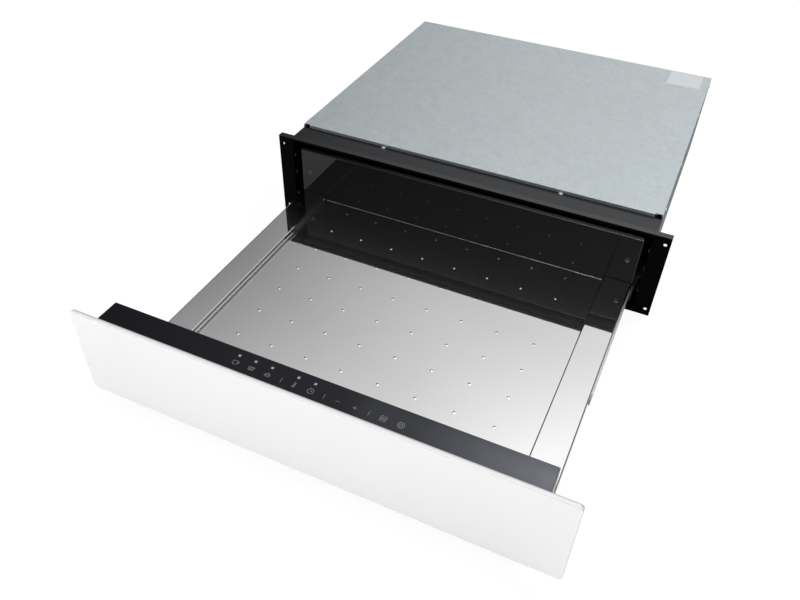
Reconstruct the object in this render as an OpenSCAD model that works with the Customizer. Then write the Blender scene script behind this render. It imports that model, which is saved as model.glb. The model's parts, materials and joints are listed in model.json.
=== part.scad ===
// Built-in warming drawer, 60 cm niche, drawn with its drawer pulled open.
// Every module draws in one set of axes: x across with 0 in the middle, z up from the base,
// y measured back from the front face of the black frame, so an open drawer has negative y.

/* [Front frame] */
// Width of the black frame over its flanges
frame_w = 599; // [575:0.5:640]
// Height of the black frame
frame_h = 135.3; // [128:0.1:150]
// Sheet thickness of the frame
frame_t = 1.5; // [0.8:0.1:1.6]
// Depth of the returned edge around the outside
frame_return = 9.5; // [6:0.5:14]
// Distance from the front face of the frame to the front edges of the cavity's sides and floor
cavity_front = 3; // [2.6:0.1:4]
// Depth of the side flange that the cavity walls are screwed to
frame_flange = 10; // [9:0.5:20]
// Height of the strip above the opening
frame_top_strip = 4.3; // [3:0.1:6]
// Height of the strip below the opening
frame_bottom_strip = 6.5; // [5:0.1:8]
// Distance of the cabinet screw holes from the sides of the frame
fix_side = 7; // [6:0.5:9]
// Height of the lower cabinet screw holes
fix_low = 10.5; // [8:0.5:20]
// Distance of the upper cabinet screw holes from the top of the frame
fix_high = 12.3; // [8:0.1:20]
// Radius of a cabinet screw hole
fix_hole_r = 2.5; // [2:0.1:3]

/* [Casing] */
// Distance of each side of the galvanised casing inside the edge of the frame
casing_inset = 21; // [18:0.5:26]
// Height of the top cover above the frame
cover_rise = 4.7; // [4.4:0.1:9]
// Depth from the front face of the frame to the back of the casing
casing_depth = 517.5; // [505:0.5:560]
// Sheet thickness of the galvanised panels
casing_t = 0.8; // [0.6:0.1:1]
// Distance from the frame to the front edge of the top cover
cover_start = 41; // [30:1:60]
// Sheet thickness of the black cavity panels
liner_t = 0.8; // [0.6:0.1:1]
// Distance from the front of the cavity's rear wall to the back of the casing
rear_depth = 53.5; // [53:0.5:60]
// Width of the relief notch at each front corner of the top cover
notch_w = 10.5; // [6:0.5:16]
// Depth of that notch
notch_d = 3; // [2:0.5:6]
// Gap between the glass wool blanket and the top cover
blanket_gap = 0.3; // [0.1:0.1:1]

/* [Drawer] */
// Distance from the frame to the rear wall of the open drawer
wall_inset = 7; // [5:0.1:9]
// Gap between the rear wall of the closed drawer and the rear wall of the cavity
closed_rear_gap = 13.7; // [13.2:0.1:14.5]
// Gap left between the front glass and the frame with the drawer closed
closed_gap = 2; // [1.8:0.1:4]
// Gap between the tray's side ledges and the sides of the opening
tray_side_gap = 10.4; // [9:0.1:14]
// Width of a side ledge
ledge_w = 39.5; // [32:0.5:60]
// Height of the ledges above the base
ledge_top = 41.9; // [41.5:0.1:46]
// Step from the ledges down to the floor plate
floor_step = 7.9; // [4:0.1:9]
// Height of the down-turned lip on the outer edge of a ledge
ledge_lip = 4.9; // [2:0.1:5]
// Sheet thickness of the tray
tray_t = 0.8; // [0.6:0.1:1]
// Height of the down-turned flanges that join the floor plate and the ledges
skirt_h = 6; // [4:0.5:9]
// Gap between the rear end of a ledge and the rear wall
ledge_end_gap = 0.8; // [0.3:0.1:2]
// Spacing of the raised domes on the floor plate
dome_pitch = 50.3; // [40:0.1:70]
// Distance from the rear wall to the last row of domes
dome_rear_inset = 20; // [15:0.5:35]
// Radius of a dome where it meets the floor plate
dome_r = 2.5; // [1.5:0.1:4]
// Height of a dome
dome_h = 0.9; // [0.4:0.1:1.5]
// Height of the underside of the pan
pan_z = 10; // [9.6:0.1:11]
// Height of the front and rear upstands of the pan
upstand_h = 18; // [14:0.5:19]
// Distance of the top edge of the rear wall below the top of the opening
rear_wall_drop = 14.5; // [8:0.5:22]
// Height of the bottom edge of the rear wall
rear_wall_z = 12; // [11:0.1:12.4]
// Sheet thickness of the rear wall
rear_wall_t = 1; // [0.8:0.1:1.4]
// Depth of the hem along the top of the rear wall
rear_hem = 7; // [4:0.5:9]

/* [Front panel] */
// Distance of each side of the white front glass inside the edge of the frame
glass_side = 1.5; // [0.5:0.1:4]
// Distance of the top edge of the front glass below the top of the frame
glass_top_gap = 0.5; // [0.2:0.1:3]
// Thickness of the front glass
glass_t = 6; // [4:0.5:8]
// Height of the bottom edge of the front glass
glass_z = 9.6; // [8.6:0.1:10]
// Corner radius of the front glass
glass_r = 4.5; // [2:0.5:8]
// Gap between each side of the stainless front box and the opening
box_side_gap = 9.2; // [7:0.1:10]
// Depth of the front box behind the glass
box_depth = 34.2; // [32:0.1:40]
// Sheet thickness of the front box
box_t = 1; // [0.8:0.1:1.2]
// Height of the underside of the front box
box_z = 10.5; // [9.8:0.1:12]
// Gap between the top face of the black control glass and the top of the opening
control_gap = 1.7; // [1:0.1:4]
// Thickness of the control glass
control_t = 4; // [3:0.5:5]
// Width of the flange that the control glass lies on
control_flange = 5; // [3:0.5:5.5]

/* [Controls] */
// Height of the plastic carrier under the control glass
carrier_h = 12.3; // [9:0.1:20]
// Wall thickness of the carrier
carrier_t = 1.5; // [1:0.1:2]
// Margin of the carrier past the outermost keys
carrier_margin = 16; // [12:1:30]
// Thickness of a printed circuit board
board_t = 1.6; // [1:0.1:2]
// Distance of the key row from the back of the front glass
key_inset = 12.8; // [11:0.1:14]
// Radius of the spring contact under a key
key_r = 3.5; // [2:0.1:4]
// Distance of the lamp row from the back of the front glass
lamp_inset = 23.2; // [21:0.1:24]
// Side of a square indicator lamp
lamp_w = 3; // [1.5:0.1:4]

/* [Slides] */
// Gap between the rear end of a closed slide and the rear wall of the cavity
rail_end_gap = 16; // [12:0.5:24]
// Distance from the frame to the front end of a closed slide
rail_front = 8; // [7:0.5:9]
// Depth of the brackets that carry the slides off the cavity walls
rail_bracket_depth = 8.4; // [8:0.1:11]
// Height of a slide
rail_h = 26; // [24.5:0.1:27]
// Thickness of a slide, from the pan to its back
rail_thick = 12; // [11.6:0.1:13]
// Sheet thickness of the slide members
rail_t = 1.2; // [1:0.05:1.3]
// Height of the underside of a slide
rail_z = 9.5; // [9:0.1:9.7]
// Diameter of the balls in the outer race
outer_ball_d = 2.2; // [2.1:0.05:2.4]
// Diameter of the balls in the inner race
inner_ball_d = 2; // [1.8:0.05:2.2]
// Depth of the groove that the balls run in
groove_depth = 0.3; // [0.2:0.05:0.4]
// Running clearance around a ball
ball_clear = 0.06; // [0.04:0.01:0.09]
// Distance of the ends of a ball retainer inside the overlap of its two members
cage_end_gap = 9; // [5:0.5:30]
// Sheet thickness of a ball retainer
cage_t = 0.5; // [0.4:0.05:0.6]
// Balls in one row of a retainer
balls_per_row = 8; // [4:1:10]
// Length of a bracket behind a slide
rail_bracket_len = 30; // [20:1:50]

/* [Air circulation] */
// Distance of the fan axis below the middle of the space over the latch
fan_drop = 3; // [1:0.5:4]
// Distance of the ring heater's middle line inside that space
ring_space = 8.5; // [8:0.5:12]
// Distance from the ring heater's middle line in to the impeller
ring_gap = 7; // [6:0.5:10]
// Width of the impeller along its axis
impeller_w = 20; // [16:0.5:21]
// Blades on the impeller
blade_count = 24; // [12:1:32]
// Thickness of a blade
blade_t = 0.8; // [0.5:0.1:1]
// Radius of the fan shaft
shaft_r = 2.5; // [2:0.1:3]
// Running clearance around the fan shaft
shaft_clear = 0.05; // [0.03:0.01:0.09]
// Gap between the rear wall of the cavity and the impeller
impeller_gap = 7; // [5:0.5:8]
// Radius of the motor can
motor_r = 30; // [24:0.5:32]
// Length of the motor can
motor_len = 17; // [14:0.5:18]
// Distance from the rear wall of the cavity to the motor plate
fan_standoff = 29; // [28:0.5:31]
// Width of the motor plate past the ring heater's middle line
fan_plate_margin = 28; // [22:1:34]
// Radius of the heater tube
tube_r = 3.25; // [2.8:0.05:3.3]
// Distance of the inlet grille's edge inside the edge of the impeller
inlet_margin = 6; // [3:0.5:12]
// Height of a slot in the inlet grille
inlet_slot = 4; // [3:0.5:4.5]
// Spacing of the slots in the inlet grille
inlet_pitch = 7; // [6:0.5:9]
// Length of a hot air slot
outlet_len = 44; // [30:1:48]
// Height of a hot air slot
outlet_h = 9; // [6:0.5:10]
// Hot air slots in the row
outlet_count = 8; // [4:1:9]

/* [Push latch] */
// Height of the latch axis
latch_z = 17; // [16.9:0.1:17.2]
// Half width of the latch body
latch_half_w = 9; // [7:0.5:12]
// Half height of the latch body
latch_half_h = 6.5; // [6:0.1:6.8]
// Length of the latch body
latch_len = 30; // [26:0.5:32]
// How far the latch body stands in front of the rear wall of the cavity
latch_front = 7; // [5:0.5:8]
// Radius of the plunger
plunger_r = 4; // [3:0.1:4.5]
// Length of the plunger
plunger_len = 18; // [14:0.5:19]
// Travel of the plunger when it is pressed
plunger_travel = 4; // [2:0.5:5]
// Gap between the closed drawer's striker and the plunger
striker_gap = 0.3; // [0.3:0.1:0.6]
// Thickness of the striker plate
striker_t = 1.5; // [1:0.1:2]
// Diameter of the spring wire
spring_wire_d = 0.8; // [0.5:0.1:1]
// Turns of the spring
spring_turns = 6; // [4:1:7]

/* [Electrics] */
// Width of the power board
power_w = 100; // [80:1:130]
// Height of the power board
power_h = 80; // [60:1:95]
// Distance from the rear wall of the cavity to the power board
power_standoff = 12; // [8:0.5:14]
// Thickness of the heating mat under the floor plate
mat_t = 1.2; // [0.8:0.1:2]
// Radius of the bore for the mains lead in the gland
gland_bore_r = 3.75; // [3:0.05:5]
// Radius of the gland body in the rear panel
gland_r = 9; // [8:0.1:11]

/* [Fasteners] */
// Radius of a small screw's shank
screw_r = 1.5; // [1.2:0.1:1.6]
// Radius of a small screw's head
screw_head_r = 2.1; // [2:0.1:2.3]
// Height of a small screw's head
screw_head_h = 1.2; // [0.8:0.1:1.4]
// Radius of the rear wall screws' heads
wall_screw_head_r = 3.5; // [3:0.1:4.5]
// Clearance around a screw's shank in its hole
screw_clear = 0.1; // [0.05:0.01:0.2]
// Radius of the rubber bumpers behind the front glass
bumper_r = 5; // [3:0.5:6]
// Distance of the bumpers from the top and bottom edges of the front glass
bumper_inset = 22; // [10:1:40]

/* [Hidden] */

$fn = 64;
cut = 1;

// The row's origin is the middle of the base, so the frame's front face lies half a depth ahead.
front_y = -casing_depth / 2;

// Widths that nest inside each other, from the frame inwards
casing_w = frame_w - 2 * casing_inset;
liner_w = casing_w - 2 * casing_t;
cavity_w = liner_w - 2 * liner_t;
opening_w = cavity_w - 2 * frame_t;
tray_w = opening_w - 2 * tray_side_gap;
pan_w = cavity_w - 2 * (rail_bracket_depth + rail_thick);
glass_w = frame_w - 2 * glass_side;
box_w = opening_w - 2 * box_side_gap;

// Heights, from the frame's
opening_z0 = frame_bottom_strip;
opening_z1 = frame_h - frame_top_strip;
casing_h = frame_h + cover_rise;
cover_under_z = casing_h - casing_t;
liner_under_z = frame_h - liner_t;
blanket_t = cover_under_z - blanket_gap - frame_h;
glass_h = frame_h - glass_top_gap - glass_z;
control_top = opening_z1 - control_gap;
rear_wall_top = opening_z1 - rear_wall_drop;

// Depths, from the casing's
panel_back_y = casing_depth - casing_t;
cavity_depth = casing_depth - rear_depth;
rail_len = cavity_depth - rail_end_gap - rail_front;

// The drawer, from its front glass back
travel = cavity_depth - closed_rear_gap - wall_inset;
wall_y = wall_inset;
glass_back_y = -travel - closed_gap;
box_back_y = glass_back_y + box_depth;
tray_len = wall_y - box_back_y;
ledge_under_z = ledge_top - tray_t;
floor_top = ledge_top - floor_step;
floor_under_z = floor_top - tray_t;
floor_w = tray_w - 2 * ledge_w;
control_z = control_top - control_t;
carrier_z = control_z - box_t - carrier_h;
board_z = carrier_z + carrier_t;
pan_in_z = pan_z + tray_t;
skirt_z = floor_under_z - skirt_h;
side_gap = 1;
box_low_w = pan_w - 2 * side_gap;
box_step_z = rail_z + rail_h + side_gap;
wall_low_w = pan_w - 2 * tray_t - side_gap;
wall_step_z = ledge_top + 0.5;

// Slide section, with u measured from the pan outwards and the height from the slide's middle
rail_x = pan_w / 2;
rail_mid_z = rail_z + rail_h / 2;
rail_half = rail_h / 2;
outer_race_r = outer_ball_d / 2 + ball_clear;
inner_race_r = inner_ball_d / 2 + ball_clear;
outer_ball_z = rail_half - rail_t + groove_depth - outer_race_r;
mid_half = outer_ball_z - outer_race_r + groove_depth;
inner_ball_z = mid_half - rail_t + groove_depth - inner_race_r;
inner_half = inner_ball_z - inner_race_r + groove_depth;
web_gap = 1.2;
mid_web_u = rail_thick - rail_t - web_gap;
inner_tip_u = mid_web_u - rail_t - 1.4;
tip_gap = 1.5;
ball_u = (inner_tip_u + tip_gap) / 2 + 0.6;
mid_shift = -travel / 2;
outer_overlap_mid = rail_front + (rail_len + mid_shift) / 2;
inner_overlap_mid = outer_overlap_mid + mid_shift;
cage_len = rail_len + mid_shift - 2 * cage_end_gap;

// Rear compartment, with the fan in the middle of the space between the latch and the cavity's top
compartment_y = cavity_depth + liner_t;
latch_top_z = latch_z + latch_half_h;
fan_z = (latch_top_z + liner_under_z) / 2 - fan_drop;
ring_r = (liner_under_z - latch_top_z) / 2 - ring_space;
impeller_r = ring_r - ring_gap;
inlet_r = impeller_r - inlet_margin;
fan_plate_half = ring_r + fan_plate_margin;
impeller_y = compartment_y + impeller_gap;
impeller_back_y = impeller_y + impeller_w;
ring_y = impeller_y + impeller_w / 2;
fan_plate_t = 1.2;
fan_plate_y = compartment_y + fan_standoff;
motor_y = fan_plate_y + fan_plate_t;
shaft_end_y = motor_y + motor_len - 2;
ring_gap_angle = 60;
latch_y = cavity_depth - latch_front;
latch_back_y = latch_y + latch_len;
latch_flange_t = 1.6;
latch_flange_margin = 5;
striker_back_y = wall_y + rear_wall_t + striker_t;
plunger_tip_y = striker_back_y + travel + striker_gap;
plunger_back_y = plunger_tip_y + plunger_len;
spring_end_y = latch_back_y - 3;
spring_r = plunger_r - spring_wire_d / 2 - 0.2;

// Places of the keys and lamps along the control strip, as the strip lays out its groups
key_x = [-87.4, -66.8, -46.8, -14, 5.8, 37.4, 57.3, 89.3, 108.9];
lamp_x = [-88.5, -67.9, -47, -14.8, 5.5];

// Heights of the screws in the sides of the frame, and depths of those along the cover
frame_screw_z = [34, 73.5, 104];
frame_screw_y = (cavity_front + frame_flange) / 2;
side_screw_y0 = cover_start + 22;
side_screw_y1 = casing_depth - 32.5;
side_screw_y = [for (share = [0, 0.308, 0.716, 1]) side_screw_y0 + share * (side_screw_y1 - side_screw_y0)];
tab_x = 138;
tab_half = 6;
tab_len = 7;
wall_screw_x = wall_low_w / 2 - 4.2;
wall_screw_z = 79;

// Places everything in the row's frame
module placed() {
    translate([0, front_y, 0]) children();
}

// A block between two corners
module block(low, high) {
    translate(low) cube(high - low);
}

// An outline drawn in x and z, carried from y0 to y1
module along_y(y0, y1) {
    translate([0, y1, 0]) rotate([90, 0, 0]) linear_extrude(height = y1 - y0) children();
}

// A round rod along y
module rod_y(r, y0, y1) {
    translate([0, y1, 0]) rotate([90, 0, 0]) cylinder(r = r, h = y1 - y0);
}

// The right side as drawn, or its mirror image for the left
module on_side(left) {
    mirror([left ? 1 : 0, 0, 0]) children();
}

// Both sides at once
module both_sides() {
    children();
    mirror([1, 0, 0]) children();
}

// A rectangle from its corners
module sheet_section(x0, z0, x1, z1) {
    translate([x0, z0]) square([x1 - x0, z1 - z0]);
}

// Front frame

module frame_holes() {
    for (x = [-1, 1], z = [fix_low, frame_h - fix_high])
        translate([x * (frame_w / 2 - fix_side), 0, z]) rod_y(fix_hole_r, -cut, frame_t + cut);
}

module front_frame() color([0.05, 0.05, 0.055]) placed() difference() {
    union() {
        difference() {
            block([-frame_w / 2, 0, 0], [frame_w / 2, frame_return, frame_h]);
            block([-frame_w / 2 + frame_t, frame_t, frame_t],
                  [frame_w / 2 - frame_t, frame_return + cut, frame_h - frame_t]);
        }
        both_sides()
            block([opening_w / 2, 0, opening_z0], [cavity_w / 2, frame_flange, opening_z1]);
    }
    block([-opening_w / 2, -cut, opening_z0], [opening_w / 2, frame_flange + cut, opening_z1]);
    frame_holes();
    for (z = frame_screw_z)
        translate([0, frame_screw_y, z]) rotate([0, 90, 0])
            cylinder(r = screw_r + screw_clear, h = frame_w - 4 * frame_t, center = true);
}

// Black cavity, made of flat panels

module cavity_top() color([0.17, 0.18, 0.19]) placed() difference() {
    block([-liner_w / 2, frame_return, liner_under_z], [liner_w / 2, panel_back_y, frame_h]);
    tab_screw_holes(liner_under_z - cut, frame_h + cut);
}

module cavity_floor() color([0.12, 0.12, 0.13]) placed()
    block([-cavity_w / 2, cavity_front, opening_z0 - liner_t],
          [cavity_w / 2, panel_back_y, opening_z0]);

// A tongue reaches forward between the frame's returned edges, to the screws in its flange
module cavity_side(left) color([0.12, 0.12, 0.13]) placed() on_side(left) difference() {
    union() {
        block([cavity_w / 2, frame_return, casing_t], [liner_w / 2, panel_back_y, liner_under_z]);
        block([cavity_w / 2, cavity_front, opening_z0], [liner_w / 2, frame_return + cut, opening_z1]);
    }
    for (z = frame_screw_z)
        translate([cavity_w / 2 - cut, frame_screw_y, z]) rotate([0, 90, 0])
            cylinder(r = screw_r + screw_clear, h = liner_t + 2 * cut);
}

module cavity_left_wall() cavity_side(true);

module cavity_right_wall() cavity_side(false);

// Air inlet slots in a circle in front of the fan, a row of hot air slots above the drawer
module cavity_rear_wall() color([0.12, 0.12, 0.13]) placed() difference() {
    block([-cavity_w / 2, cavity_depth, opening_z0], [cavity_w / 2, compartment_y, liner_under_z]);
    for (i = [-floor(inlet_r / inlet_pitch) : floor(inlet_r / inlet_pitch)])
        let (z = i * inlet_pitch, half = sqrt(max(inlet_r ^ 2 - (abs(z) + inlet_slot / 2) ^ 2, 25)))
            block([-half, cavity_depth - cut, fan_z + z - inlet_slot / 2],
                  [half, compartment_y + cut, fan_z + z + inlet_slot / 2]);
    for (i = [0 : outlet_count - 1])
        translate([(i - (outlet_count - 1) / 2) * cavity_w / (outlet_count + 0.5), 0, 0])
            block([-outlet_len / 2, cavity_depth - cut, liner_under_z - 4 - outlet_h],
                  [outlet_len / 2, compartment_y + cut, liner_under_z - 4]);
    block([-latch_half_w - screw_clear, cavity_depth - cut, latch_z - latch_half_h - screw_clear],
          [latch_half_w + screw_clear, compartment_y + cut, latch_z + latch_half_h + screw_clear]);
}

// Galvanised casing

module tab_screw_holes(z0, z1) {
    for (side = [-1, 1])
        translate([side * tab_x, cover_start - tab_len / 2, z0])
            cylinder(r = screw_r + screw_clear, h = z1 - z0);
}

side_screw_z = (frame_h + cover_under_z) / 2;

module side_screw_holes() {
    for (y = side_screw_y)
        translate([liner_w / 2 - casing_t - cut, y, side_screw_z]) rotate([0, 90, 0])
            cylinder(r = screw_r + screw_clear, h = 2 * casing_t + 2 * cut);
}

module top_cover() color([0.72, 0.75, 0.77]) placed() difference() {
    union() {
        block([-casing_w / 2, cover_start, cover_under_z], [casing_w / 2, casing_depth, casing_h]);
        block([-liner_w / 2, cover_start, frame_h],
              [liner_w / 2, cover_start + casing_t, cover_under_z]);
        both_sides()
            block([liner_w / 2 - casing_t, cover_start, frame_h],
                  [liner_w / 2, panel_back_y, cover_under_z]);
        for (side = [-1, 1])
            block([side * tab_x - tab_half, cover_start - tab_len, frame_h],
                  [side * tab_x + tab_half, cover_start + casing_t, frame_h + casing_t]);
    }
    both_sides() {
        block([casing_w / 2 - notch_w, cover_start - cut, frame_h - cut],
              [casing_w / 2 + cut, cover_start + notch_d, casing_h + cut]);
        side_screw_holes();
    }
    tab_screw_holes(frame_h - cut, frame_h + casing_t + cut);
}

module side_panel(left) color([0.72, 0.75, 0.77]) placed() on_side(left) difference() {
    block([liner_w / 2, cover_start, casing_t], [casing_w / 2, panel_back_y, cover_under_z]);
    side_screw_holes();
}

module left_side_panel() side_panel(true);

module right_side_panel() side_panel(false);

gland_x = -170;
gland_z = 40;
vent_z = 100;
vent_count = 9;

module rear_panel() color([0.72, 0.75, 0.77]) placed() difference() {
    block([-casing_w / 2, panel_back_y, casing_t], [casing_w / 2, casing_depth, cover_under_z]);
    translate([gland_x, 0, gland_z])
        rod_y(gland_r + screw_clear, panel_back_y - cut, casing_depth + cut);
    for (i = [0 : vent_count - 1])
        translate([120 + i * 12, 0, 0])
            block([0, panel_back_y - cut, vent_z - 18], [4, casing_depth + cut, vent_z + 18]);
}

module base_plate() color([0.72, 0.75, 0.77]) placed()
    block([-casing_w / 2, frame_return, 0], [casing_w / 2, casing_depth, casing_t]);

// A pan head screw along z, with its head's seat at 0 and its shank going down
module screw(shank_len, head_r = screw_head_r) {
    translate([0, 0, -shank_len]) cylinder(r = screw_r, h = shank_len + screw_head_h / 2);
    cylinder(r = head_r, h = screw_head_h);
}

module frame_screws() color([0.1, 0.1, 0.11]) placed() both_sides()
    for (z = frame_screw_z)
        translate([opening_w / 2, frame_screw_y, z]) rotate([0, -90, 0])
            screw(frame_t + liner_t + 1, 3);

module cover_screws() color([0.9, 0.9, 0.9]) placed() {
    for (side = [-1, 1])
        translate([side * tab_x, cover_start - tab_len / 2, frame_h + casing_t])
            screw(casing_t + liner_t + 1);
    both_sides()
        for (y = side_screw_y)
            translate([casing_w / 2, y, side_screw_z]) rotate([0, 90, 0]) screw(2 * casing_t + 2);
}

module insulation_blanket() color([0.9, 0.85, 0.6]) placed()
    block([-liner_w / 2 + casing_t + 6, cover_start + casing_t + 3, frame_h],
          [liner_w / 2 - casing_t - 6, panel_back_y - 6, frame_h + blanket_t]);

// Slides

// A channel open towards tip_u, with its web's outer face at web_u
module channel(web_u, tip_u, half, t) {
    low = min(web_u, tip_u);
    high = max(web_u, tip_u);
    difference() {
        sheet_section(low, -half, high, half);
        if (web_u > tip_u)
            sheet_section(low - cut, -half + t, high - t, half - t);
        else
            sheet_section(low + t, -half + t, high + cut, half - t);
    }
}

// The grooves that one row of balls above and one below run in
module races(race_r, ball_z) {
    for (side = [-1, 1])
        translate([ball_u, side * ball_z]) circle(r = race_r);
}

module slide_member(left, y0) placed() on_side(left) translate([rail_x, 0, rail_mid_z])
    along_y(y0, y0 + rail_len) children();

module outer_rail(left) color([0.62, 0.64, 0.66]) slide_member(left, rail_front)
    difference() {
        channel(rail_thick, tip_gap + 1, rail_half, rail_t);
        races(outer_race_r, outer_ball_z);
    }

module mid_rail(left) color([0.66, 0.68, 0.7]) slide_member(left, rail_front + mid_shift)
    difference() {
        channel(mid_web_u, tip_gap, mid_half, rail_t);
        races(outer_race_r, outer_ball_z);
        races(inner_race_r, inner_ball_z);
    }

module inner_rail(left) color([0.62, 0.64, 0.66]) slide_member(left, rail_front - travel)
    difference() {
        channel(0, inner_tip_u, inner_half, rail_t);
        races(inner_race_r, inner_ball_z);
    }

module left_outer_rail() outer_rail(true);

module right_outer_rail() outer_rail(false);

module left_mid_rail() mid_rail(true);

module right_mid_rail() mid_rail(false);

module left_inner_rail() inner_rail(true);

module right_inner_rail() inner_rail(false);

// A ball retainer: a thin channel with its balls sitting in holes through its flanges
module cage(left, middle_y, web_u, ball_z, ball_d) placed() on_side(left)
    translate([rail_x, middle_y, rail_mid_z]) {
        difference() {
            along_y(-cage_len / 2, cage_len / 2)
                channel(web_u, ball_u - 1.8, ball_z + cage_t / 2, cage_t);
            cage_balls(ball_z) cylinder(r = ball_d / 2 + ball_clear, h = 4 * cage_t, center = true);
        }
        cage_balls(ball_z) sphere(d = ball_d);
    }

module cage_balls(ball_z) {
    for (i = [0 : balls_per_row - 1], side = [-1, 1])
        translate([ball_u, ((i + 0.5) / balls_per_row - 0.5) * cage_len, side * ball_z]) children();
}

module outer_cage(left) color([0.8, 0.78, 0.7])
    cage(left, outer_overlap_mid, mid_web_u + (web_gap + cage_t) / 2, outer_ball_z, outer_ball_d);

module inner_cage(left) color([0.8, 0.78, 0.7])
    cage(left, inner_overlap_mid, inner_tip_u + 0.45 + cage_t, inner_ball_z, inner_ball_d);

module left_outer_cage() outer_cage(true);

module right_outer_cage() outer_cage(false);

module left_inner_cage() inner_cage(true);

module right_inner_cage() inner_cage(false);

// Channel pieces that carry the slides off the cavity walls
module rail_brackets() color([0.6, 0.62, 0.64]) placed() both_sides()
    for (share = [0.1, 0.5, 0.9])
        translate([rail_x + rail_thick, rail_front + share * rail_len - rail_bracket_len / 2, rail_mid_z])
            along_y(0, rail_bracket_len) channel(0, rail_bracket_depth, rail_half - 1, frame_t);

// Fan, heater and electrics behind the cavity

post_inset = 9;
post_r = 4;
fan_plate_z0 = fan_z - ring_r - 11;
fan_plate_z1 = fan_z + ring_r + 1;

module fan_bracket() color([0.7, 0.72, 0.74]) placed() difference() {
    union() {
        block([-fan_plate_half, fan_plate_y, fan_plate_z0], [fan_plate_half, motor_y, fan_plate_z1]);
        for (x = [-1, 1], z = [fan_plate_z0 + post_inset, fan_plate_z1 - post_inset])
            translate([x * (fan_plate_half - post_inset), 0, z])
                rod_y(post_r, compartment_y, fan_plate_y + fan_plate_t / 2);
    }
    translate([0, 0, fan_z]) rod_y(shaft_r + 4, fan_plate_y - cut, motor_y + cut);
    ring_legs() rod_y(leg_r + screw_clear, fan_plate_y - cut, motor_y + cut);
}

// The ring heater ends in two sleeves that leave through the motor plate
leg_r = tube_r + 0.5;

module ring_legs() {
    for (side = [-1, 1])
        translate([side * ring_r * sin(ring_gap_angle / 2), 0, fan_z + ring_r * cos(ring_gap_angle / 2)])
            children();
}

module ring_heater() color([0.35, 0.33, 0.32]) placed() {
    translate([0, ring_y, fan_z]) rotate([90, 0, 0])
        rotate([0, 0, 90 + ring_gap_angle / 2])
            rotate_extrude(angle = 360 - ring_gap_angle) translate([ring_r, 0]) circle(r = tube_r);
    ring_legs() rod_y(leg_r, ring_y - leg_r, motor_y + 4);
}

module fan_motor() color([0.45, 0.46, 0.48]) placed() translate([0, 0, fan_z]) difference() {
    union() {
        rod_y(motor_r, motor_y, motor_y + motor_len);
        rod_y(9, motor_y + motor_len - 1, motor_y + motor_len + 2);
        block([-motor_r - 10, motor_y, -6], [motor_r + 10, motor_y + 3, 6]);
    }
    rod_y(shaft_r + shaft_clear, motor_y - cut, shaft_end_y + 0.3);
}

blade_len = 9;
blade_tilt = 25;

module fan_impeller() color([0.75, 0.77, 0.79]) placed() translate([0, 0, fan_z]) {
    rod_y(impeller_r, impeller_back_y - 1, impeller_back_y);
    difference() {
        rod_y(impeller_r, impeller_y, impeller_y + 1);
        rod_y(impeller_r - blade_len - 1, impeller_y - cut, impeller_y + 1 + cut);
    }
    for (i = [0 : blade_count - 1])
        rotate([0, i * 360 / blade_count, 0]) translate([impeller_r - 5, 0, 0]) rotate([0, blade_tilt, 0])
            block([-blade_len / 2, impeller_y + 0.5, -blade_t / 2],
                  [blade_len / 2, impeller_back_y - 0.5, blade_t / 2]);
    rod_y(7, impeller_back_y - 9, impeller_back_y - 0.5);
    rod_y(shaft_r, impeller_back_y - 11, shaft_end_y);
}

thermostat_r = 8;
thermostat_x = fan_plate_half + 25;
thermostat_z = liner_under_z - 29.5;
thermostat_tab_y = 16;

module safety_thermostat() color([0.55, 0.56, 0.58]) placed()
    translate([thermostat_x, compartment_y, thermostat_z]) {
        block([-thermostat_r - 4, 0, -5], [thermostat_r + 4, 1, 5]);
        rod_y(thermostat_r, 0.5, thermostat_r);
        for (side = [-1, 1])
            block([side * thermostat_r / 2 - 0.4, thermostat_r - 0.5, -3],
                  [side * thermostat_r / 2 + 0.4, thermostat_tab_y, 3]);
    }

power_x = thermostat_x + 85;
power_z = 70;
part_margin = 12;
core_w = 30;
core_h = 40;
core_d = 24;
relay_w = 11;
relay_pitch = 14;
relay_d = 17;
cap_r = 5.5;
cap_pitch = 16;
cap_d = 22;

// The supply board on four posts, with its transformer, three relays and two capacitors
module power_board() color([0.1, 0.35, 0.2]) placed()
    translate([power_x, compartment_y + power_standoff, power_z]) {
        block([-power_w / 2, 0, -power_h / 2], [power_w / 2, board_t, power_h / 2]);
        for (x = [-1, 1], z = [-1, 1])
            translate([x * (power_w / 2 - 5), 0, z * (power_h / 2 - 5)])
                rod_y(3, -power_standoff, 0.5);
        translate([-power_w / 2 + part_margin, 0, -power_h / 2 + part_margin])
            block([0, board_t - 0.5, 0], [core_w, core_d, core_h]);
        for (i = [0 : 2])
            translate([i * relay_pitch - 2, 0, power_h / 2 - part_margin - 20])
                block([0, board_t - 0.5, 0], [relay_w, relay_d, 20]);
        for (i = [0 : 1])
            translate([4 + i * cap_pitch, 0, -power_h / 4]) rod_y(cap_r, board_t - 0.5, cap_d);
    }

module terminal_block() color([0.85, 0.85, 0.82]) placed() translate([gland_x, panel_back_y, 80])
    difference() {
        block([-22, -18, -9], [22, 0, 9]);
        for (i = [-1 : 1])
            translate([i * 13, 0, 0]) rod_y(2.5, -18 - cut, -10);
    }

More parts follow.
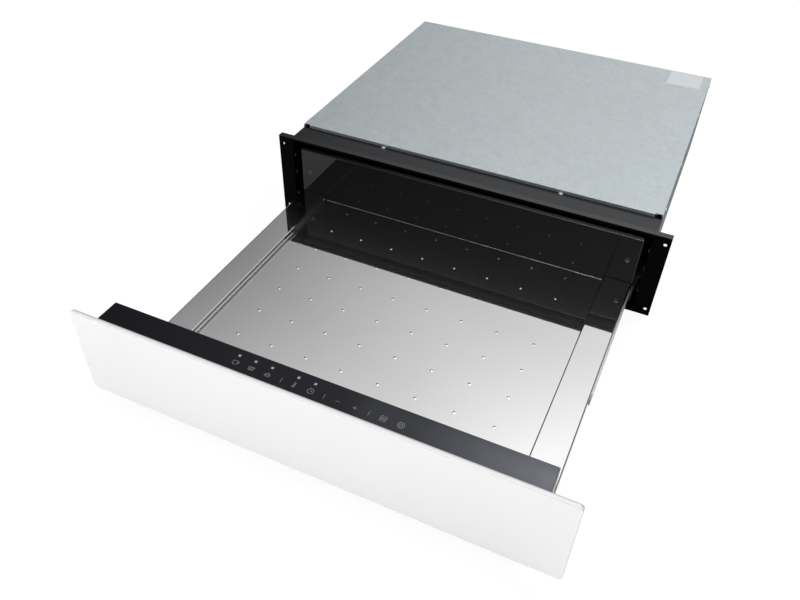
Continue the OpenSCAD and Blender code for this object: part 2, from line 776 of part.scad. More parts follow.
// The gland's flange outside, its body through the panel and its nut inside
module cable_gland() color([0.08, 0.08, 0.08]) placed() translate([gland_x, 0, gland_z]) {
    difference() {
        union() {
            rod_y(gland_r, panel_back_y - 12, casing_depth + 1);
            rod_y(gland_r + 3, casing_depth, casing_depth + 3);
            rod_y(gland_r - 1, casing_depth + 2, casing_depth + 6);
        }
        rod_y(gland_bore_r, panel_back_y - 12 - cut, casing_depth + 6 + cut);
    }
    difference() {
        translate([0, panel_back_y, 0]) rotate([90, 0, 0])
            cylinder(r = gland_r + 5, h = 5, $fn = 6);
        rod_y(gland_r + shaft_clear, panel_back_y - 5 - cut, panel_back_y + cut);
    }
}

// Push latch at the back of the cavity

module latch_body() color([0.1, 0.1, 0.1]) placed() translate([0, 0, latch_z]) difference() {
    union() {
        block([-latch_half_w, latch_y, -latch_half_h], [latch_half_w, latch_back_y, latch_half_h]);
        block([-latch_half_w - latch_flange_margin, cavity_depth - latch_flange_t, -latch_half_h - 1.5],
              [latch_half_w + latch_flange_margin, cavity_depth, latch_half_h + 1.5]);
    }
    rod_y(plunger_r + shaft_clear, latch_y - cut, spring_end_y);
}

module latch_plunger() color([0.85, 0.85, 0.85]) placed() translate([0, 0, latch_z])
    rod_y(plunger_r, plunger_tip_y, plunger_back_y);

// A point on the spring wire's surface: turn angle t, and angle a around the wire
function spring_point(t, a) = [
    (spring_r + spring_wire_d / 2 * cos(a)) * cos(t),
    spring_y0 + spring_pitch * t / 360 + spring_wire_d / 2 * sin(a),
    (spring_r + spring_wire_d / 2 * cos(a)) * sin(t)
];
spring_y0 = plunger_back_y + spring_wire_d / 2;
spring_pitch = (spring_end_y - plunger_back_y - spring_wire_d) / spring_turns;
spring_sides = 6;
spring_rings = 14 * spring_turns;

module latch_spring() color([0.7, 0.7, 0.72]) placed() translate([0, 0, latch_z]) polyhedron(
    points = [for (i = [0 : spring_rings], j = [0 : spring_sides - 1])
        spring_point(i * 360 * spring_turns / spring_rings, j * 360 / spring_sides)],
    faces = concat(
        [for (i = [0 : spring_rings - 1], j = [0 : spring_sides - 1], half = [0, 1])
            let (a = i * spring_sides + j, b = i * spring_sides + (j + 1) % spring_sides)
                half == 0 ? [a, a + spring_sides, b] : [b, a + spring_sides, b + spring_sides]],
        [[for (j = [0 : spring_sides - 1]) j]],
        [[for (j = [spring_sides - 1 : -1 : 0]) spring_rings * spring_sides + j]]));

// Front panel and its box

module front_glass() color([0.93, 0.93, 0.93]) placed()
    along_y(glass_back_y - glass_t, glass_back_y) difference() {
        sheet_section(-glass_w / 2, glass_z, glass_w / 2, glass_z + glass_h);
        for (x = [-1, 1], z = [0, 1])
            translate([x * (glass_w / 2 - glass_r), glass_z + glass_r + z * (glass_h - 2 * glass_r)])
                difference() {
                    translate([x > 0 ? 0 : -glass_r - cut, z > 0 ? 0 : -glass_r - cut])
                        square(glass_r + cut);
                    circle(r = glass_r);
                }
    }

// Front view of the box, stepped in beside the slides; inset shrinks it evenly
module box_section(inset, top) {
    sheet_section(-box_low_w / 2 + inset, box_z + inset, box_low_w / 2 - inset, box_step_z + 2 * inset);
    sheet_section(-box_w / 2 + inset, box_step_z + inset, box_w / 2 - inset, top);
}

module front_box() color([0.78, 0.78, 0.79]) placed() difference() {
    along_y(glass_back_y, box_back_y) box_section(0, control_top);
    along_y(glass_back_y + box_t, box_back_y - box_t) box_section(box_t, control_z - box_t);
    block([-box_w / 2 + box_t, glass_back_y - cut, control_z],
          [box_w / 2 - box_t, box_back_y + cut, control_top + cut]);
    block([-box_w / 2 + box_t + control_flange, glass_back_y + box_t + control_flange,
           control_z - box_t - cut],
          [box_w / 2 - box_t - control_flange, box_back_y - box_t - control_flange, control_z + cut]);
}

module control_glass() color([0.06, 0.06, 0.065]) placed()
    block([-box_w / 2 + box_t, glass_back_y, control_z], [box_w / 2 - box_t, box_back_y, control_top]);

carrier_x0 = key_x[0] - carrier_margin;
carrier_x1 = key_x[len(key_x) - 1] + carrier_margin;
carrier_y0 = glass_back_y + box_t + 0.3;
carrier_y1 = box_back_y - box_t - 0.3;

module control_carrier() color([0.15, 0.15, 0.16]) placed() difference() {
    block([carrier_x0, carrier_y0, carrier_z], [carrier_x1, carrier_y1, carrier_z + carrier_h]);
    block([carrier_x0 + carrier_t, carrier_y0 + carrier_t, board_z],
          [carrier_x1 - carrier_t, carrier_y1 - carrier_t, carrier_z + carrier_h + cut]);
}

module control_board() color([0.1, 0.35, 0.2]) placed()
    block([carrier_x0 + carrier_t + 0.5, carrier_y0 + carrier_t + 0.5, board_z],
          [carrier_x1 - carrier_t - 0.5, carrier_y1 - carrier_t - 0.5, board_z + board_t]);

module indicator_lamps() color([0.9, 0.9, 0.95]) placed()
    for (x = lamp_x)
        block([x - lamp_w / 2, glass_back_y + lamp_inset - lamp_w / 2, board_z + board_t],
              [x + lamp_w / 2, glass_back_y + lamp_inset + lamp_w / 2, control_z]);

module key_contacts() color([0.8, 0.8, 0.78]) placed()
    for (x = key_x)
        translate([x, glass_back_y + key_inset, board_z + board_t]) difference() {
            cylinder(r = key_r, h = control_z - board_z - board_t);
            translate([0, 0, -cut])
                cylinder(r = key_r - 0.8, h = control_z - board_z - board_t - 0.5 + cut);
        }

// Midway between the edge of the opening and the edge of the glass
module panel_bumpers() color([0.15, 0.15, 0.15]) placed() both_sides()
    for (z = [glass_z + bumper_inset, glass_z + glass_h - bumper_inset])
        translate([(glass_w + opening_w) / 4, 0, z])
            rod_y(bumper_r, glass_back_y, glass_back_y + closed_gap - 0.3);

// Tray

dome_sphere_r = (dome_r ^ 2 + dome_h ^ 2) / (2 * dome_h);
dome_columns = 2 * floor((floor_w / 2 - dome_r) / dome_pitch + 0.5);
dome_rows = floor((tray_len - dome_rear_inset - dome_r) / dome_pitch) + 1;

module domes() intersection() {
    block([-floor_w / 2, box_back_y, floor_top - tray_t / 2],
          [floor_w / 2, wall_y, floor_top + 2 * dome_h]);
    for (i = [0 : dome_columns - 1], j = [0 : dome_rows - 1])
        translate([(i - (dome_columns - 1) / 2) * dome_pitch, wall_y - dome_rear_inset - j * dome_pitch,
                   floor_top + dome_h - dome_sphere_r])
            sphere(r = dome_sphere_r);
}

module drawer_floor() color([0.82, 0.82, 0.83]) placed() {
    block([-floor_w / 2, box_back_y, floor_under_z], [floor_w / 2, wall_y, floor_top]);
    both_sides()
        block([floor_w / 2 - tray_t, box_back_y, skirt_z], [floor_w / 2, wall_y, floor_top]);
    domes();
}

module ledge(left) color([0.82, 0.82, 0.83]) placed() on_side(left)
    along_y(box_back_y, wall_y - ledge_end_gap) {
        sheet_section(floor_w / 2, ledge_under_z, tray_w / 2, ledge_top);
        sheet_section(floor_w / 2, skirt_z, floor_w / 2 + tray_t, ledge_top);
        sheet_section(tray_w / 2 - tray_t, ledge_top - ledge_lip, tray_w / 2, ledge_top);
    }

module left_ledge() ledge(true);

module right_ledge() ledge(false);

module bottom_pan() color([0.6, 0.62, 0.64]) placed() {
    along_y(box_back_y, wall_y) difference() {
        sheet_section(-pan_w / 2, pan_z, pan_w / 2, ledge_under_z);
        sheet_section(-pan_w / 2 + tray_t, pan_in_z, pan_w / 2 - tray_t, ledge_under_z + cut);
    }
    for (y = [box_back_y, wall_y - tray_t])
        block([-pan_w / 2, y, pan_z], [pan_w / 2, y + tray_t, pan_z + upstand_h]);
}

wall_screw_hole = screw_r + screw_clear;

module rear_wall() color([0.07, 0.07, 0.075]) placed() difference() {
    union() {
        along_y(wall_y, wall_y + rear_wall_t) {
            sheet_section(-wall_low_w / 2, rear_wall_z, wall_low_w / 2, rear_wall_top);
            sheet_section(-tray_w / 2, wall_step_z, tray_w / 2, rear_wall_top);
        }
        block([-tray_w / 2, wall_y, rear_wall_top - rear_wall_t],
              [tray_w / 2, wall_y + rear_hem, rear_wall_top]);
    }
    both_sides() translate([wall_screw_x, 0, wall_screw_z])
        rod_y(wall_screw_hole, wall_y - cut, wall_y + rear_wall_t + cut);
}

bracket_t = 1.2;

module rear_wall_brackets() color([0.6, 0.62, 0.64]) placed() both_sides() difference() {
    translate([0, wall_y + rear_wall_t, 0]) {
        block([wall_screw_x - 8, 0, rear_wall_z], [wall_low_w / 2, bracket_t, wall_screw_z + 20]);
        block([wall_screw_x - 8, 0, rear_wall_z], [wall_screw_x - 8 + bracket_t, 8, wall_screw_z + 20]);
    }
    translate([wall_screw_x, 0, wall_screw_z])
        rod_y(wall_screw_hole, wall_y, wall_y + rear_wall_t + bracket_t + cut);
}

module rear_wall_screws() color([0.1, 0.1, 0.11]) placed() both_sides()
    translate([wall_screw_x, wall_y, wall_screw_z]) rotate([90, 0, 0])
        screw(rear_wall_t + bracket_t + 3, wall_screw_head_r);

sensor_r = 5;

module floor_heater() color([0.75, 0.75, 0.76]) placed() difference() {
    block([-floor_w / 2 + 20, box_back_y + 18, floor_under_z - mat_t],
          [floor_w / 2 - 20, wall_y - 22, floor_under_z]);
    translate([0, (box_back_y + wall_y) / 2, floor_under_z - mat_t - cut])
        cylinder(r = sensor_r + 0.5, h = mat_t + 2 * cut);
}

module insulation_pad() color([0.9, 0.85, 0.6]) placed() difference() {
    block([-floor_w / 2 + 12, box_back_y + 10, pan_in_z],
          [floor_w / 2 - 12, wall_y - 10, floor_under_z - mat_t]);
    translate([0, (box_back_y + wall_y) / 2, floor_under_z - 9])
        cylinder(r = sensor_r + 0.5, h = 10);
}

module floor_sensor() color([0.7, 0.6, 0.4]) placed()
    translate([0, (box_back_y + wall_y) / 2, floor_under_z - 8.5]) cylinder(r = sensor_r, h = 8.5);

module latch_striker() color([0.7, 0.72, 0.74]) placed()
    block([-latch_half_w + 2, wall_y + rear_wall_t, latch_z - 4.5],
          [latch_half_w - 2, striker_back_y, latch_z + 4.5]);

front_frame();
cavity_top();
cavity_floor();
cavity_left_wall();
cavity_right_wall();
cavity_rear_wall();
top_cover();
left_side_panel();
right_side_panel();
rear_panel();
base_plate();
frame_screws();
cover_screws();
insulation_blanket();
left_outer_rail();
right_outer_rail();
rail_brackets();
fan_bracket();
fan_motor();
ring_heater();
safety_thermostat();
power_board();
terminal_block();
cable_gland();
latch_body();
front_glass();
front_box();
control_glass();
control_carrier();
control_board();
indicator_lamps();
key_contacts();
panel_bumpers();
drawer_floor();
left_ledge();
right_ledge();
bottom_pan();
rear_wall();
rear_wall_brackets();
rear_wall_screws();
floor_heater();
insulation_pad();
floor_sensor();
left_inner_rail();
right_inner_rail();
latch_striker();
left_mid_rail();
right_mid_rail();
left_outer_cage();
right_outer_cage();
left_inner_cage();
right_inner_cage();
fan_impeller();
latch_plunger();
latch_spring();
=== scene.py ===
# %% [markdown]
# # A built-in warming drawer, pulled open
#
# The drawer arrives as exact solids, one for every sheet, slide, ball cage and screw. They are the
# fixed frame of this scene. The lesson keeps each solid in its place, makes the pieces that the eye
# rests on again with rounded folds, pressed domes and printed symbols, and gives everything a finish.
#
# Lengths in the text are millimetres, counted as on the drawing of the drawer: x across from the
# middle, z up from the base, and y back from the front face of the black frame.

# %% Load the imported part
import json
import math

import bmesh
import bpy
import numpy as np
from mathutils import Matrix, Vector

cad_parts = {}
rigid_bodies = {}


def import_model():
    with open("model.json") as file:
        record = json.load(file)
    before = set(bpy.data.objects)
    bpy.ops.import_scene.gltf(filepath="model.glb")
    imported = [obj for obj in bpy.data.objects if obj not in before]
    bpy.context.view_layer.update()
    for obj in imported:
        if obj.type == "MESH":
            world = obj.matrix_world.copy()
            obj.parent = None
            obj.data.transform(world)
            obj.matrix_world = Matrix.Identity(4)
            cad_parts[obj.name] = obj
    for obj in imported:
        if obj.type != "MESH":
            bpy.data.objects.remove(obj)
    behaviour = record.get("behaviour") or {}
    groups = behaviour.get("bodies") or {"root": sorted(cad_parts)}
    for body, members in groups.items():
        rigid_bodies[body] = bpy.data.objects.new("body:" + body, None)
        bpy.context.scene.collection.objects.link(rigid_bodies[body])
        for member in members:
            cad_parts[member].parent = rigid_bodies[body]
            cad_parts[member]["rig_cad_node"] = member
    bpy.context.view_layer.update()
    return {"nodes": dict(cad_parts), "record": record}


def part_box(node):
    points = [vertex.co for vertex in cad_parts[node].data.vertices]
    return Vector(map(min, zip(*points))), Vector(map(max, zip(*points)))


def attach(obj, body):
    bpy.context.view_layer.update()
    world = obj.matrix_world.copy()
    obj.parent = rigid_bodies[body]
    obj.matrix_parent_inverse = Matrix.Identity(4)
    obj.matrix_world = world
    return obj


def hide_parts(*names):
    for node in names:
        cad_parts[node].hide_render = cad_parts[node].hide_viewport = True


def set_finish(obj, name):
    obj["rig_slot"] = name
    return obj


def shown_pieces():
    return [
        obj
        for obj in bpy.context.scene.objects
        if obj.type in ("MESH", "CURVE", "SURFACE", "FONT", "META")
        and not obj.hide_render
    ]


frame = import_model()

nodes = frame["nodes"]
FRONT_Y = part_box("front_frame")[0].y
print("solids", len(nodes), "frame face at y", round(FRONT_Y, 5))

# %% [markdown]
# ## Grids that become closed skins
#
# A sheet of steel is two surfaces, joined round the rim. Each surface is a grid of points, so all
# of its faces follow from the numbers of rows and columns. The points are worked out as whole
# arrays. That is quicker than a loop, and the formula stays in sight.

# %% Millimetres, metres and the box of a solid
SHIFT = np.array([0, FRONT_Y, 0])


def metres(points):
    """Divides by a thousand and slides y, so that 0 is the frame's front face."""
    return np.asarray(points, float) / 1000 + SHIFT


def box_mm(node):
    """Lowest and highest corner of a solid, in the drawing's millimetres."""
    return [(np.array(corner) - SHIFT) * 1000 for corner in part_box(node)]


# %% Faces of a grid, a sheet and a stack of loops
def grid_faces(rows, columns, closed=False):
    """Point (r, c) has number r * columns + c, and a quad joins it to its next row and column.
    A closed grid also joins its last column to its first."""
    r = np.arange(rows - 1)[:, None] * columns
    c = np.arange(columns if closed else columns - 1)[None, :]
    after = (c + 1) % columns
    return np.stack([r + c, r + after, r + after + columns, r + c + columns], -1).reshape(-1, 4)


def sheet(front, back):
    """Closed skin of a sheet: the front grid, the back grid, and quads round the rim between them."""
    rows, columns = front.shape[:2]
    count = rows * columns
    number = np.arange(count).reshape(rows, columns)
    rim = np.concatenate([number[0, :-1], number[:-1, -1], number[-1, :0:-1], number[:0:-1, 0]])
    ahead = np.roll(rim, -1)
    faces = grid_faces(rows, columns)
    edge = np.stack([rim, ahead, ahead + count, rim + count], -1)
    return np.concatenate([front.reshape(-1, 3), back.reshape(-1, 3)]), [faces, faces + count, edge]


def stack(loops):
    """Closed skin through a stack of closed loops, with a flat cap on the first and the last."""
    rows, columns = loops.shape[:2]
    first = np.arange(columns)[None, :]
    return loops.reshape(-1, 3), [grid_faces(rows, columns, True), first, first + (rows - 1) * columns]


# %% From skins to an object that rides on a body
def piece(name, skins, body, slot=None, stands_for=(), crease=32):
    """Joins closed skins into one object, turns its faces outwards, and hangs it on a body."""
    points, faces, start = [], [], 0
    for skin_points, groups in skins:
        points.append(skin_points)
        for group in groups:
            faces.extend((group + start).tolist())
        start += len(skin_points)
    mesh = bpy.data.meshes.new(name)
    mesh.from_pydata(metres(np.concatenate(points)).tolist(), [], faces)
    work = bmesh.new()
    work.from_mesh(mesh)
    bmesh.ops.remove_doubles(work, verts=work.verts, dist=1e-7)
    bmesh.ops.recalc_face_normals(work, faces=work.faces)
    volume = work.calc_volume(signed=True)
    work.to_mesh(mesh)
    work.free()
    return show(name, mesh, body, slot, stands_for, crease, f"{volume * 1e6:.1f} cm3")


def show(name, mesh, body, slot, stands_for, crease, note):
    """Smooth shading up to the crease angle, then the calls that make the mesh a piece."""
    mesh.shade_smooth()
    mesh.set_sharp_from_angle(angle=math.radians(crease))
    made = bpy.data.objects.new(name, mesh)
    bpy.context.scene.collection.objects.link(made)
    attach(made, body)
    if slot:
        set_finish(made, slot)
    if stands_for:
        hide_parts(*stands_for)
    print(f"{name}: {len(mesh.polygons)} faces, {note}")
    return made


# %% [markdown]
# ## Folded sheets and rounded plates
#
# Nearly everything here is either a plate with ground edges or a sheet folded on a press. A fold is
# a quarter circle, and its outside radius is a little more than the sheet's thickness. Without it
# an edge would be infinitely sharp and would never catch the light.

# %% The line of a folded sheet
GUARD = 0.4


def folded(corners, radii, steps=5):
    """A line of straight runs whose corners become arcs, with one radius for all or one per corner.
    The arc touches both runs at the distance radius * tan(turn / 2) from the corner. A guard point on
    either side keeps the smooth shading of the arc from leaking into the flat metal. Returns the
    points and their normals to the left."""
    corners = np.array(corners, float)
    radii = np.broadcast_to(radii, len(corners))
    along = np.diff(corners, axis=0)
    along /= np.linalg.norm(along, axis=1)[:, None]
    left = np.stack([-along[:, 1], along[:, 0]], -1)
    points, normals = [corners[:1]], [left[:1]]
    for i in range(1, len(corners) - 1):
        before, after = along[i - 1], along[i]
        turn = math.atan2(before[0] * after[1] - before[1] * after[0], before @ after)
        if abs(turn) < 1e-6:
            points.append(corners[i:i + 1])
            normals.append(left[i:i + 1])
            continue
        side, radius = math.copysign(1, turn), radii[i]
        centre = corners[i] - before * radius * math.tan(abs(turn) / 2) + side * radius * left[i - 1]
        t = np.linspace(0, turn, steps + 1)[:, None]
        across = left[i - 1] * np.cos(t) + np.array([-left[i - 1, 1], left[i - 1, 0]]) * np.sin(t)
        bend = centre - side * radius * across
        points += [bend[:1] - GUARD * before, bend, bend[-1:] + GUARD * after]
        normals += [left[i - 1:i], across, left[i:i + 1]]
    return np.concatenate(points + [corners[-1:]]), np.concatenate(normals + [left[-1:]])


def run_along(points, normals, thickness, levels, axes, proud=0.0):
    """Sheet whose section is the line, carried over the levels of the third axis. The front face is
    the line moved out by proud along its normals, and the back face lies one thickness inside it."""
    grid = np.empty((len(points), len(levels), 3))
    grid[..., axes[0]] = points[:, :1]
    grid[..., axes[1]] = points[:, 1:]
    grid[..., 3 - axes[0] - axes[1]] = np.asarray(levels)
    out = np.zeros_like(grid)
    out[..., axes[0]] = normals[:, :1]
    out[..., axes[1]] = normals[:, 1:]
    front = grid + out * np.asarray(proud)[..., None]
    return front, front - out * thickness


# %% A plate with round corners and ground edges
def plate(low, high, corner, ground, axis, steps=4):
    """Rounded rectangles stacked along an axis. Each is a corner centre plus a radius times
    (cos, sin), and the radius shrinks by ground * (1 - sin) as the rim turns over at either face.
    One more loop just inside the rim, on either face, keeps the big face flat in its shading."""
    low, high = np.array(low, float), np.array(high, float)
    across = [i for i in range(3) if i != axis]
    turn = np.linspace(0, math.pi / 2, steps + 1)
    inset = np.append(ground + min(GUARD, 0.6 * (corner - ground)), ground * (1 - np.sin(turn)))
    rise = np.append(0, ground * (1 - np.cos(turn)))
    radius = corner - np.concatenate([inset, inset[::-1]])
    level = np.concatenate([low[axis] + rise, high[axis] - rise[::-1]])
    quarter = np.repeat(np.arange(4), 7)
    angle = np.radians(quarter * 90 + np.tile(np.linspace(0, 90, 7), 4))
    sign = np.stack([np.where((quarter == 0) | (quarter == 3), 1, -1), np.where(quarter < 2, 1, -1)], -1)
    middle, half = (low + high)[across] / 2, (high - low)[across] / 2
    around = np.stack([np.cos(angle), np.sin(angle)], -1)
    loops = np.empty((len(level), len(angle), 3))
    loops[..., across] = middle + sign * (half - corner) + radius[:, None, None] * around
    loops[..., axis] = level[:, None]
    return stack(loops)


# %% [markdown]
# ## The white front glass and the black control glass
#
# Both are flat glass, painted on the back, with edges that were ground and polished. The front
# glass has small round corners. An attribute marks the ground rim, because it is the one place
# where the eye sees the clear glass instead of the paint.

# %% Glass plates
def ground_rim(made, low, high, axis):
    """Writes an attribute that a finish can read: 1 at the points of the ground rim, and 0 on both
    faces, which lie at the lowest and highest level of the axis."""
    flat = np.empty(len(made.data.vertices) * 3, np.float32)
    made.data.vertices.foreach_get("co", flat)
    level = ((flat.reshape(-1, 3) - SHIFT) * 1000)[:, axis]
    on_face = (np.abs(level - low[axis]) < 1e-3) | (np.abs(level - high[axis]) < 1e-3)
    layer = made.data.attributes.new("rim", "FLOAT", "POINT")
    layer.data.foreach_set("value", np.where(on_face, 0.0, 1.0).astype(np.float32))


GLASS_CORNER, GLASS_GROUND = 4.5, 0.8
STRIP_CORNER, STRIP_GROUND = 0.8, 0.35
glass_low, glass_high = box_mm("front_glass")
GLASS_BACK_Y = glass_high[1]
front_glass = piece("white_front_glass", [plate(glass_low, glass_high, GLASS_CORNER, GLASS_GROUND, 1)],
                    "drawer", "white_glass", ["front_glass"])
ground_rim(front_glass, glass_low, glass_high, 1)

control_low, control_high = box_mm("control_glass")
CONTROL_Z = control_high[2]
strip = plate(control_low, control_high, STRIP_CORNER, STRIP_GROUND, 2)
control_glass = piece("control_strip_glass", [strip], "drawer", "black_glass", ["control_glass"])
ground_rim(control_glass, control_low, control_high, 2)

# %% [markdown]
# ## Printed symbols
#
# The strip is a touch control, so its symbols are ink on glass: a cup, a dish, rising dough, a
# thermometer, a clock, minus, plus, start and pause, and power. Each symbol is a few strokes. A
# stroke is a ribbon of even width round a line, a few hundredths of a millimetre thick.

# %% Strokes
INK = 0.04


def stroke(line, width, closed=False):
    """A ribbon: the line moved half a width to either side along its normals. At a bend the normal is
    the mean of its two neighbours', made longer by 1 / cos of half the turn so the width stays."""
    line = np.array(line, float)
    if closed:
        step_in, step_out = line - np.roll(line, 1, 0), np.roll(line, -1, 0) - line
    else:
        step = np.diff(line, axis=0)
        step_in, step_out = np.concatenate([step[:1], step]), np.concatenate([step, step[-1:]])
    unit_in = step_in / np.linalg.norm(step_in, axis=1)[:, None]
    unit_out = step_out / np.linalg.norm(step_out, axis=1)[:, None]
    mean = unit_in + unit_out
    mean /= np.linalg.norm(mean, axis=1)[:, None]
    reach = width / 2 / np.maximum((mean * unit_in).sum(1), 0.4)
    side = np.stack([-mean[:, 1], mean[:, 0]], -1) * reach[:, None]
    if closed:
        line, side = np.concatenate([line, line[:1]]), np.concatenate([side, side[:1]])
    return np.stack([line + side, line - side], 1)


def inked(ribbon, x, y, z, thickness=INK):
    """A ribbon laid on the glass at (x, y) as a thin closed skin."""
    top = np.concatenate([ribbon + np.array([x, y]), np.full(ribbon.shape[:2] + (1,), z + thickness)], -1)
    return sheet(top, top - np.array([0, 0, thickness]))


def arc(radius, start, end, x=0.0, y=0.0, steps=20):
    """Points on a circle from one angle to another, in degrees."""
    a = np.radians(np.linspace(start, end, steps + 1))
    return np.stack([x + radius * np.cos(a), y + radius * np.sin(a)], -1)


def ring(radius, x=0.0, y=0.0):
    """A closed circle, without its last point, which would repeat the first."""
    return arc(radius, 0, 360, x, y, 36)[:-1]


# %% The symbols, each drawn round its own middle
FINE, THIN = 0.48, 0.4
cup = [(np.concatenate([[[-2.9, 2.8], [2.7, 2.8]], arc(2.8, -8, -172, -0.1, 0.2, 14)]), True),
       (arc(1.35, 105, -95, 2.9, 0.9, 12), False)]
dish = [([[-3.4, 2.1], [3.4, 2.1], [2.6, -2.1], [-2.6, -2.1]], True),
        ([[-0.9, 1.9], [-0.9, -1.9]], False), ([[1.0, 1.9], [1.0, -1.9]], False)]
dough = [(arc(2.3, 0, 180, 0.2, -0.2, 14), False), ([[-4.0, -0.5], [4.0, -0.5]], False),
         ([[-3.0, -2.2], [3.4, -2.2]], False), ([[0.2, 2.1], [0.2, 3.3]], False)]
thermometer = [(np.concatenate([arc(1.35, 125, 415, 0, -2.0, 18), [[0.8, 2.6]],
                                arc(0.8, 20, 160, 0, 2.7, 6), [[-0.8, 2.6]]]), True),
               ([[0, -2.0], [0, 1.2]], False)]
clock = [(ring(3.5), True), ([[0, 2.0], [0, 0], [1.5, 0.7]], False)]
bar = [([[0, -3.2], [0, 3.2]], False)]
minus = [([[-2.4, 0], [2.4, 0]], False)]
plus = [([[-2.4, 0], [2.4, 0]], False), ([[0, 0.2], [0, 2.4]], False), ([[0, -2.4], [0, -0.2]], False)]
square = folded([[0, 3.2], [3.2, 3.2], [3.2, -3.2], [-3.2, -3.2], [-3.2, 3.2], [0, 3.2]], 1.0)[0][:-1]
start = [(square, True), ([[-1.6, 1.4], [-0.1, 0], [-1.6, -1.4]], True),
         ([[0.7, 1.4], [0.7, -1.4]], False), ([[1.7, 1.4], [1.7, -1.4]], False)]
power = [(ring(3.6), True), (arc(1.9, 55, -235, 0, -0.1, 22), False), ([[0, 0.2], [0, 2.3]], False)]
row = [(-87.6, cup), (-67.4, dish), (-47.0, dough), (-30.0, bar), (-14.5, thermometer), (5.3, clock),
       (21.3, bar), (37.1, minus), (56.8, plus), (72.7, bar), (88.8, start), (108.3, power)]
KEY_Y = GLASS_BACK_Y + 13.95
thin = [id(symbol) for symbol in (bar, minus, plus)]
ink = [inked(stroke(line, THIN if id(symbol) in thin else FINE, closed), x, KEY_Y, CONTROL_Z)
       for x, symbol in row for line, closed in symbol]
symbols = piece("touch_symbols", ink, "drawer")

# %% Windows of the five indicator lamps
LAMP_Y, LAMP_HALF = GLASS_BACK_Y + 24.7, 1.5
windows = [plate([x - LAMP_HALF, LAMP_Y - LAMP_HALF, CONTROL_Z],
                 [x + LAMP_HALF, LAMP_Y + LAMP_HALF, CONTROL_Z + INK], 0.3, 0.02, 2)
           for x in (-88.7, -68.1, -47.3, -15.0, 5.3)]
piece("lamp_windows", windows, "drawer", "lamp_clear")

# %% [markdown]
# ## The tray
#
# The floor plate has eight by eight small domes pressed up from below, so dishes stand on points
# and warm air passes under them. A press leaves a soft foot round each dome, which is why the
# height is a bell and not a cut sphere. The grid lines crowd together at the domes and leave the
# flat metal between them nearly empty, so one closed skin holds plate, domes and side flanges. A
# ledge folds tightly over its inner flange and in a wide round over its outer lip.

# %% Floor plate with pressed domes
floor_low, floor_high = box_mm("drawer_floor")
ledge_low, ledge_high = box_mm("right_ledge")
FLOOR_HALF, SKIRT_Z = floor_high[0], floor_low[2]
LEDGE_Z = ledge_high[2]
TRAY_T, TURN_UP, LIP_DOWN = 0.8, 0.4, 4.9
FOLD, OUTER_FOLD, FLOOR_FOLD = 1.3, 2.1, 1.4
FLOOR_Z = box_mm("floor_heater")[1][2] + TRAY_T
DOME_R, DOME_H, PITCH, LAST_ROW = 2.2, 0.64, 50.3, 20
SEAM = 0.05
dome_x = (np.arange(8) - 3.5) * PITCH
dome_y = floor_high[1] - LAST_ROW - np.arange(8)[::-1] * PITCH


def bell(distance, radius):
    """Height share of a pressed dome: (1 - d2)^2 with d2 the squared distance over the squared radius."""
    return np.clip(1 - (distance / radius) ** 2, 0, 1) ** 2


def crowded(centres, reach, low, high, steps=15):
    """Levels from low to high that crowd within reach of every centre. The reach goes past a dome's foot,
    so the last crowded line already lies on flat metal and the big faces beside it stay flat."""
    near = (centres[:, None] + np.linspace(-reach, reach, steps + 1)[None, :]).ravel()
    return np.unique(np.round(np.concatenate([[low, high], near[(near > low) & (near < high)]]), 4))


def floor_skin():
    """The folded line gets extra points across its top, and the domes push it out along its normals.
    The rear edge turns up against the wall: a rise of r - (r^2 - d^2)^0.5 at d past its start."""
    half_width = FLOOR_HALF - SEAM
    line, normal = folded([[-half_width, SKIRT_Z], [-half_width, FLOOR_Z], [half_width, FLOOR_Z],
                           [half_width, SKIRT_Z]], FLOOR_FOLD)
    half = len(line) // 2
    extra = crowded(dome_x, DOME_R * 1.25, -FLOOR_HALF + 4, FLOOR_HALF - 4)
    flat = np.stack([extra, np.full(len(extra), FLOOR_Z)], -1)
    line = np.concatenate([line[:half], flat, line[half:]])
    normal = np.concatenate([normal[:half], np.tile([0.0, 1.0], (len(extra), 1)), normal[half:]])
    back = floor_high[1]
    levels = crowded(dome_y, DOME_R * 1.25, floor_low[1], back)
    levels = np.concatenate([levels[:-1], [back - TURN_UP - GUARD], back - np.linspace(TURN_UP, 0, 7)])
    dx = np.abs(line[:, :1, None] - dome_x).min(-1)
    dy = np.abs(levels[None, :, None] - dome_y).min(-1)
    top = (normal[:, 1:] > 0.99)
    past = np.clip(levels - back + TURN_UP, 0, 0.97 * TURN_UP)[None, :]
    lip = TURN_UP - np.sqrt(TURN_UP ** 2 - past ** 2)
    proud = np.where(top, DOME_H * bell(np.hypot(dx, dy), DOME_R) + lip, 0.0)
    return sheet(*run_along(line, normal, TRAY_T, levels, (0, 2), proud))


piece("floor_plate", [floor_skin()], "drawer", "stainless", ["drawer_floor"])


# %% Side ledges
def ledge_skin(side):
    """Inner flange up, over the top, and down the outer lip. The left ledge is the mirror image."""
    line, normal = folded([[FLOOR_HALF, SKIRT_Z], [FLOOR_HALF, LEDGE_Z], [ledge_high[0], LEDGE_Z],
                           [ledge_high[0], LEDGE_Z - LIP_DOWN]], (0, FOLD, OUTER_FOLD, 0))
    levels = np.linspace(ledge_low[1], ledge_high[1], 12)
    mirror = np.array([side, 1])
    return sheet(*run_along(line * mirror, normal * mirror, TRAY_T, levels, (0, 2)))


for name, side in (("left_ledge", -1), ("right_ledge", 1)):
    piece(name + "_sheet", [ledge_skin(side)], "drawer", "stainless", [name])

# %% [markdown]
# ## The rear wall of the drawer
#
# A glossy black sheet with a hem folded back along its top. It is narrower below the ledges, where
# the slides pass. The width is therefore a function of height, with a short slope at the shoulder.

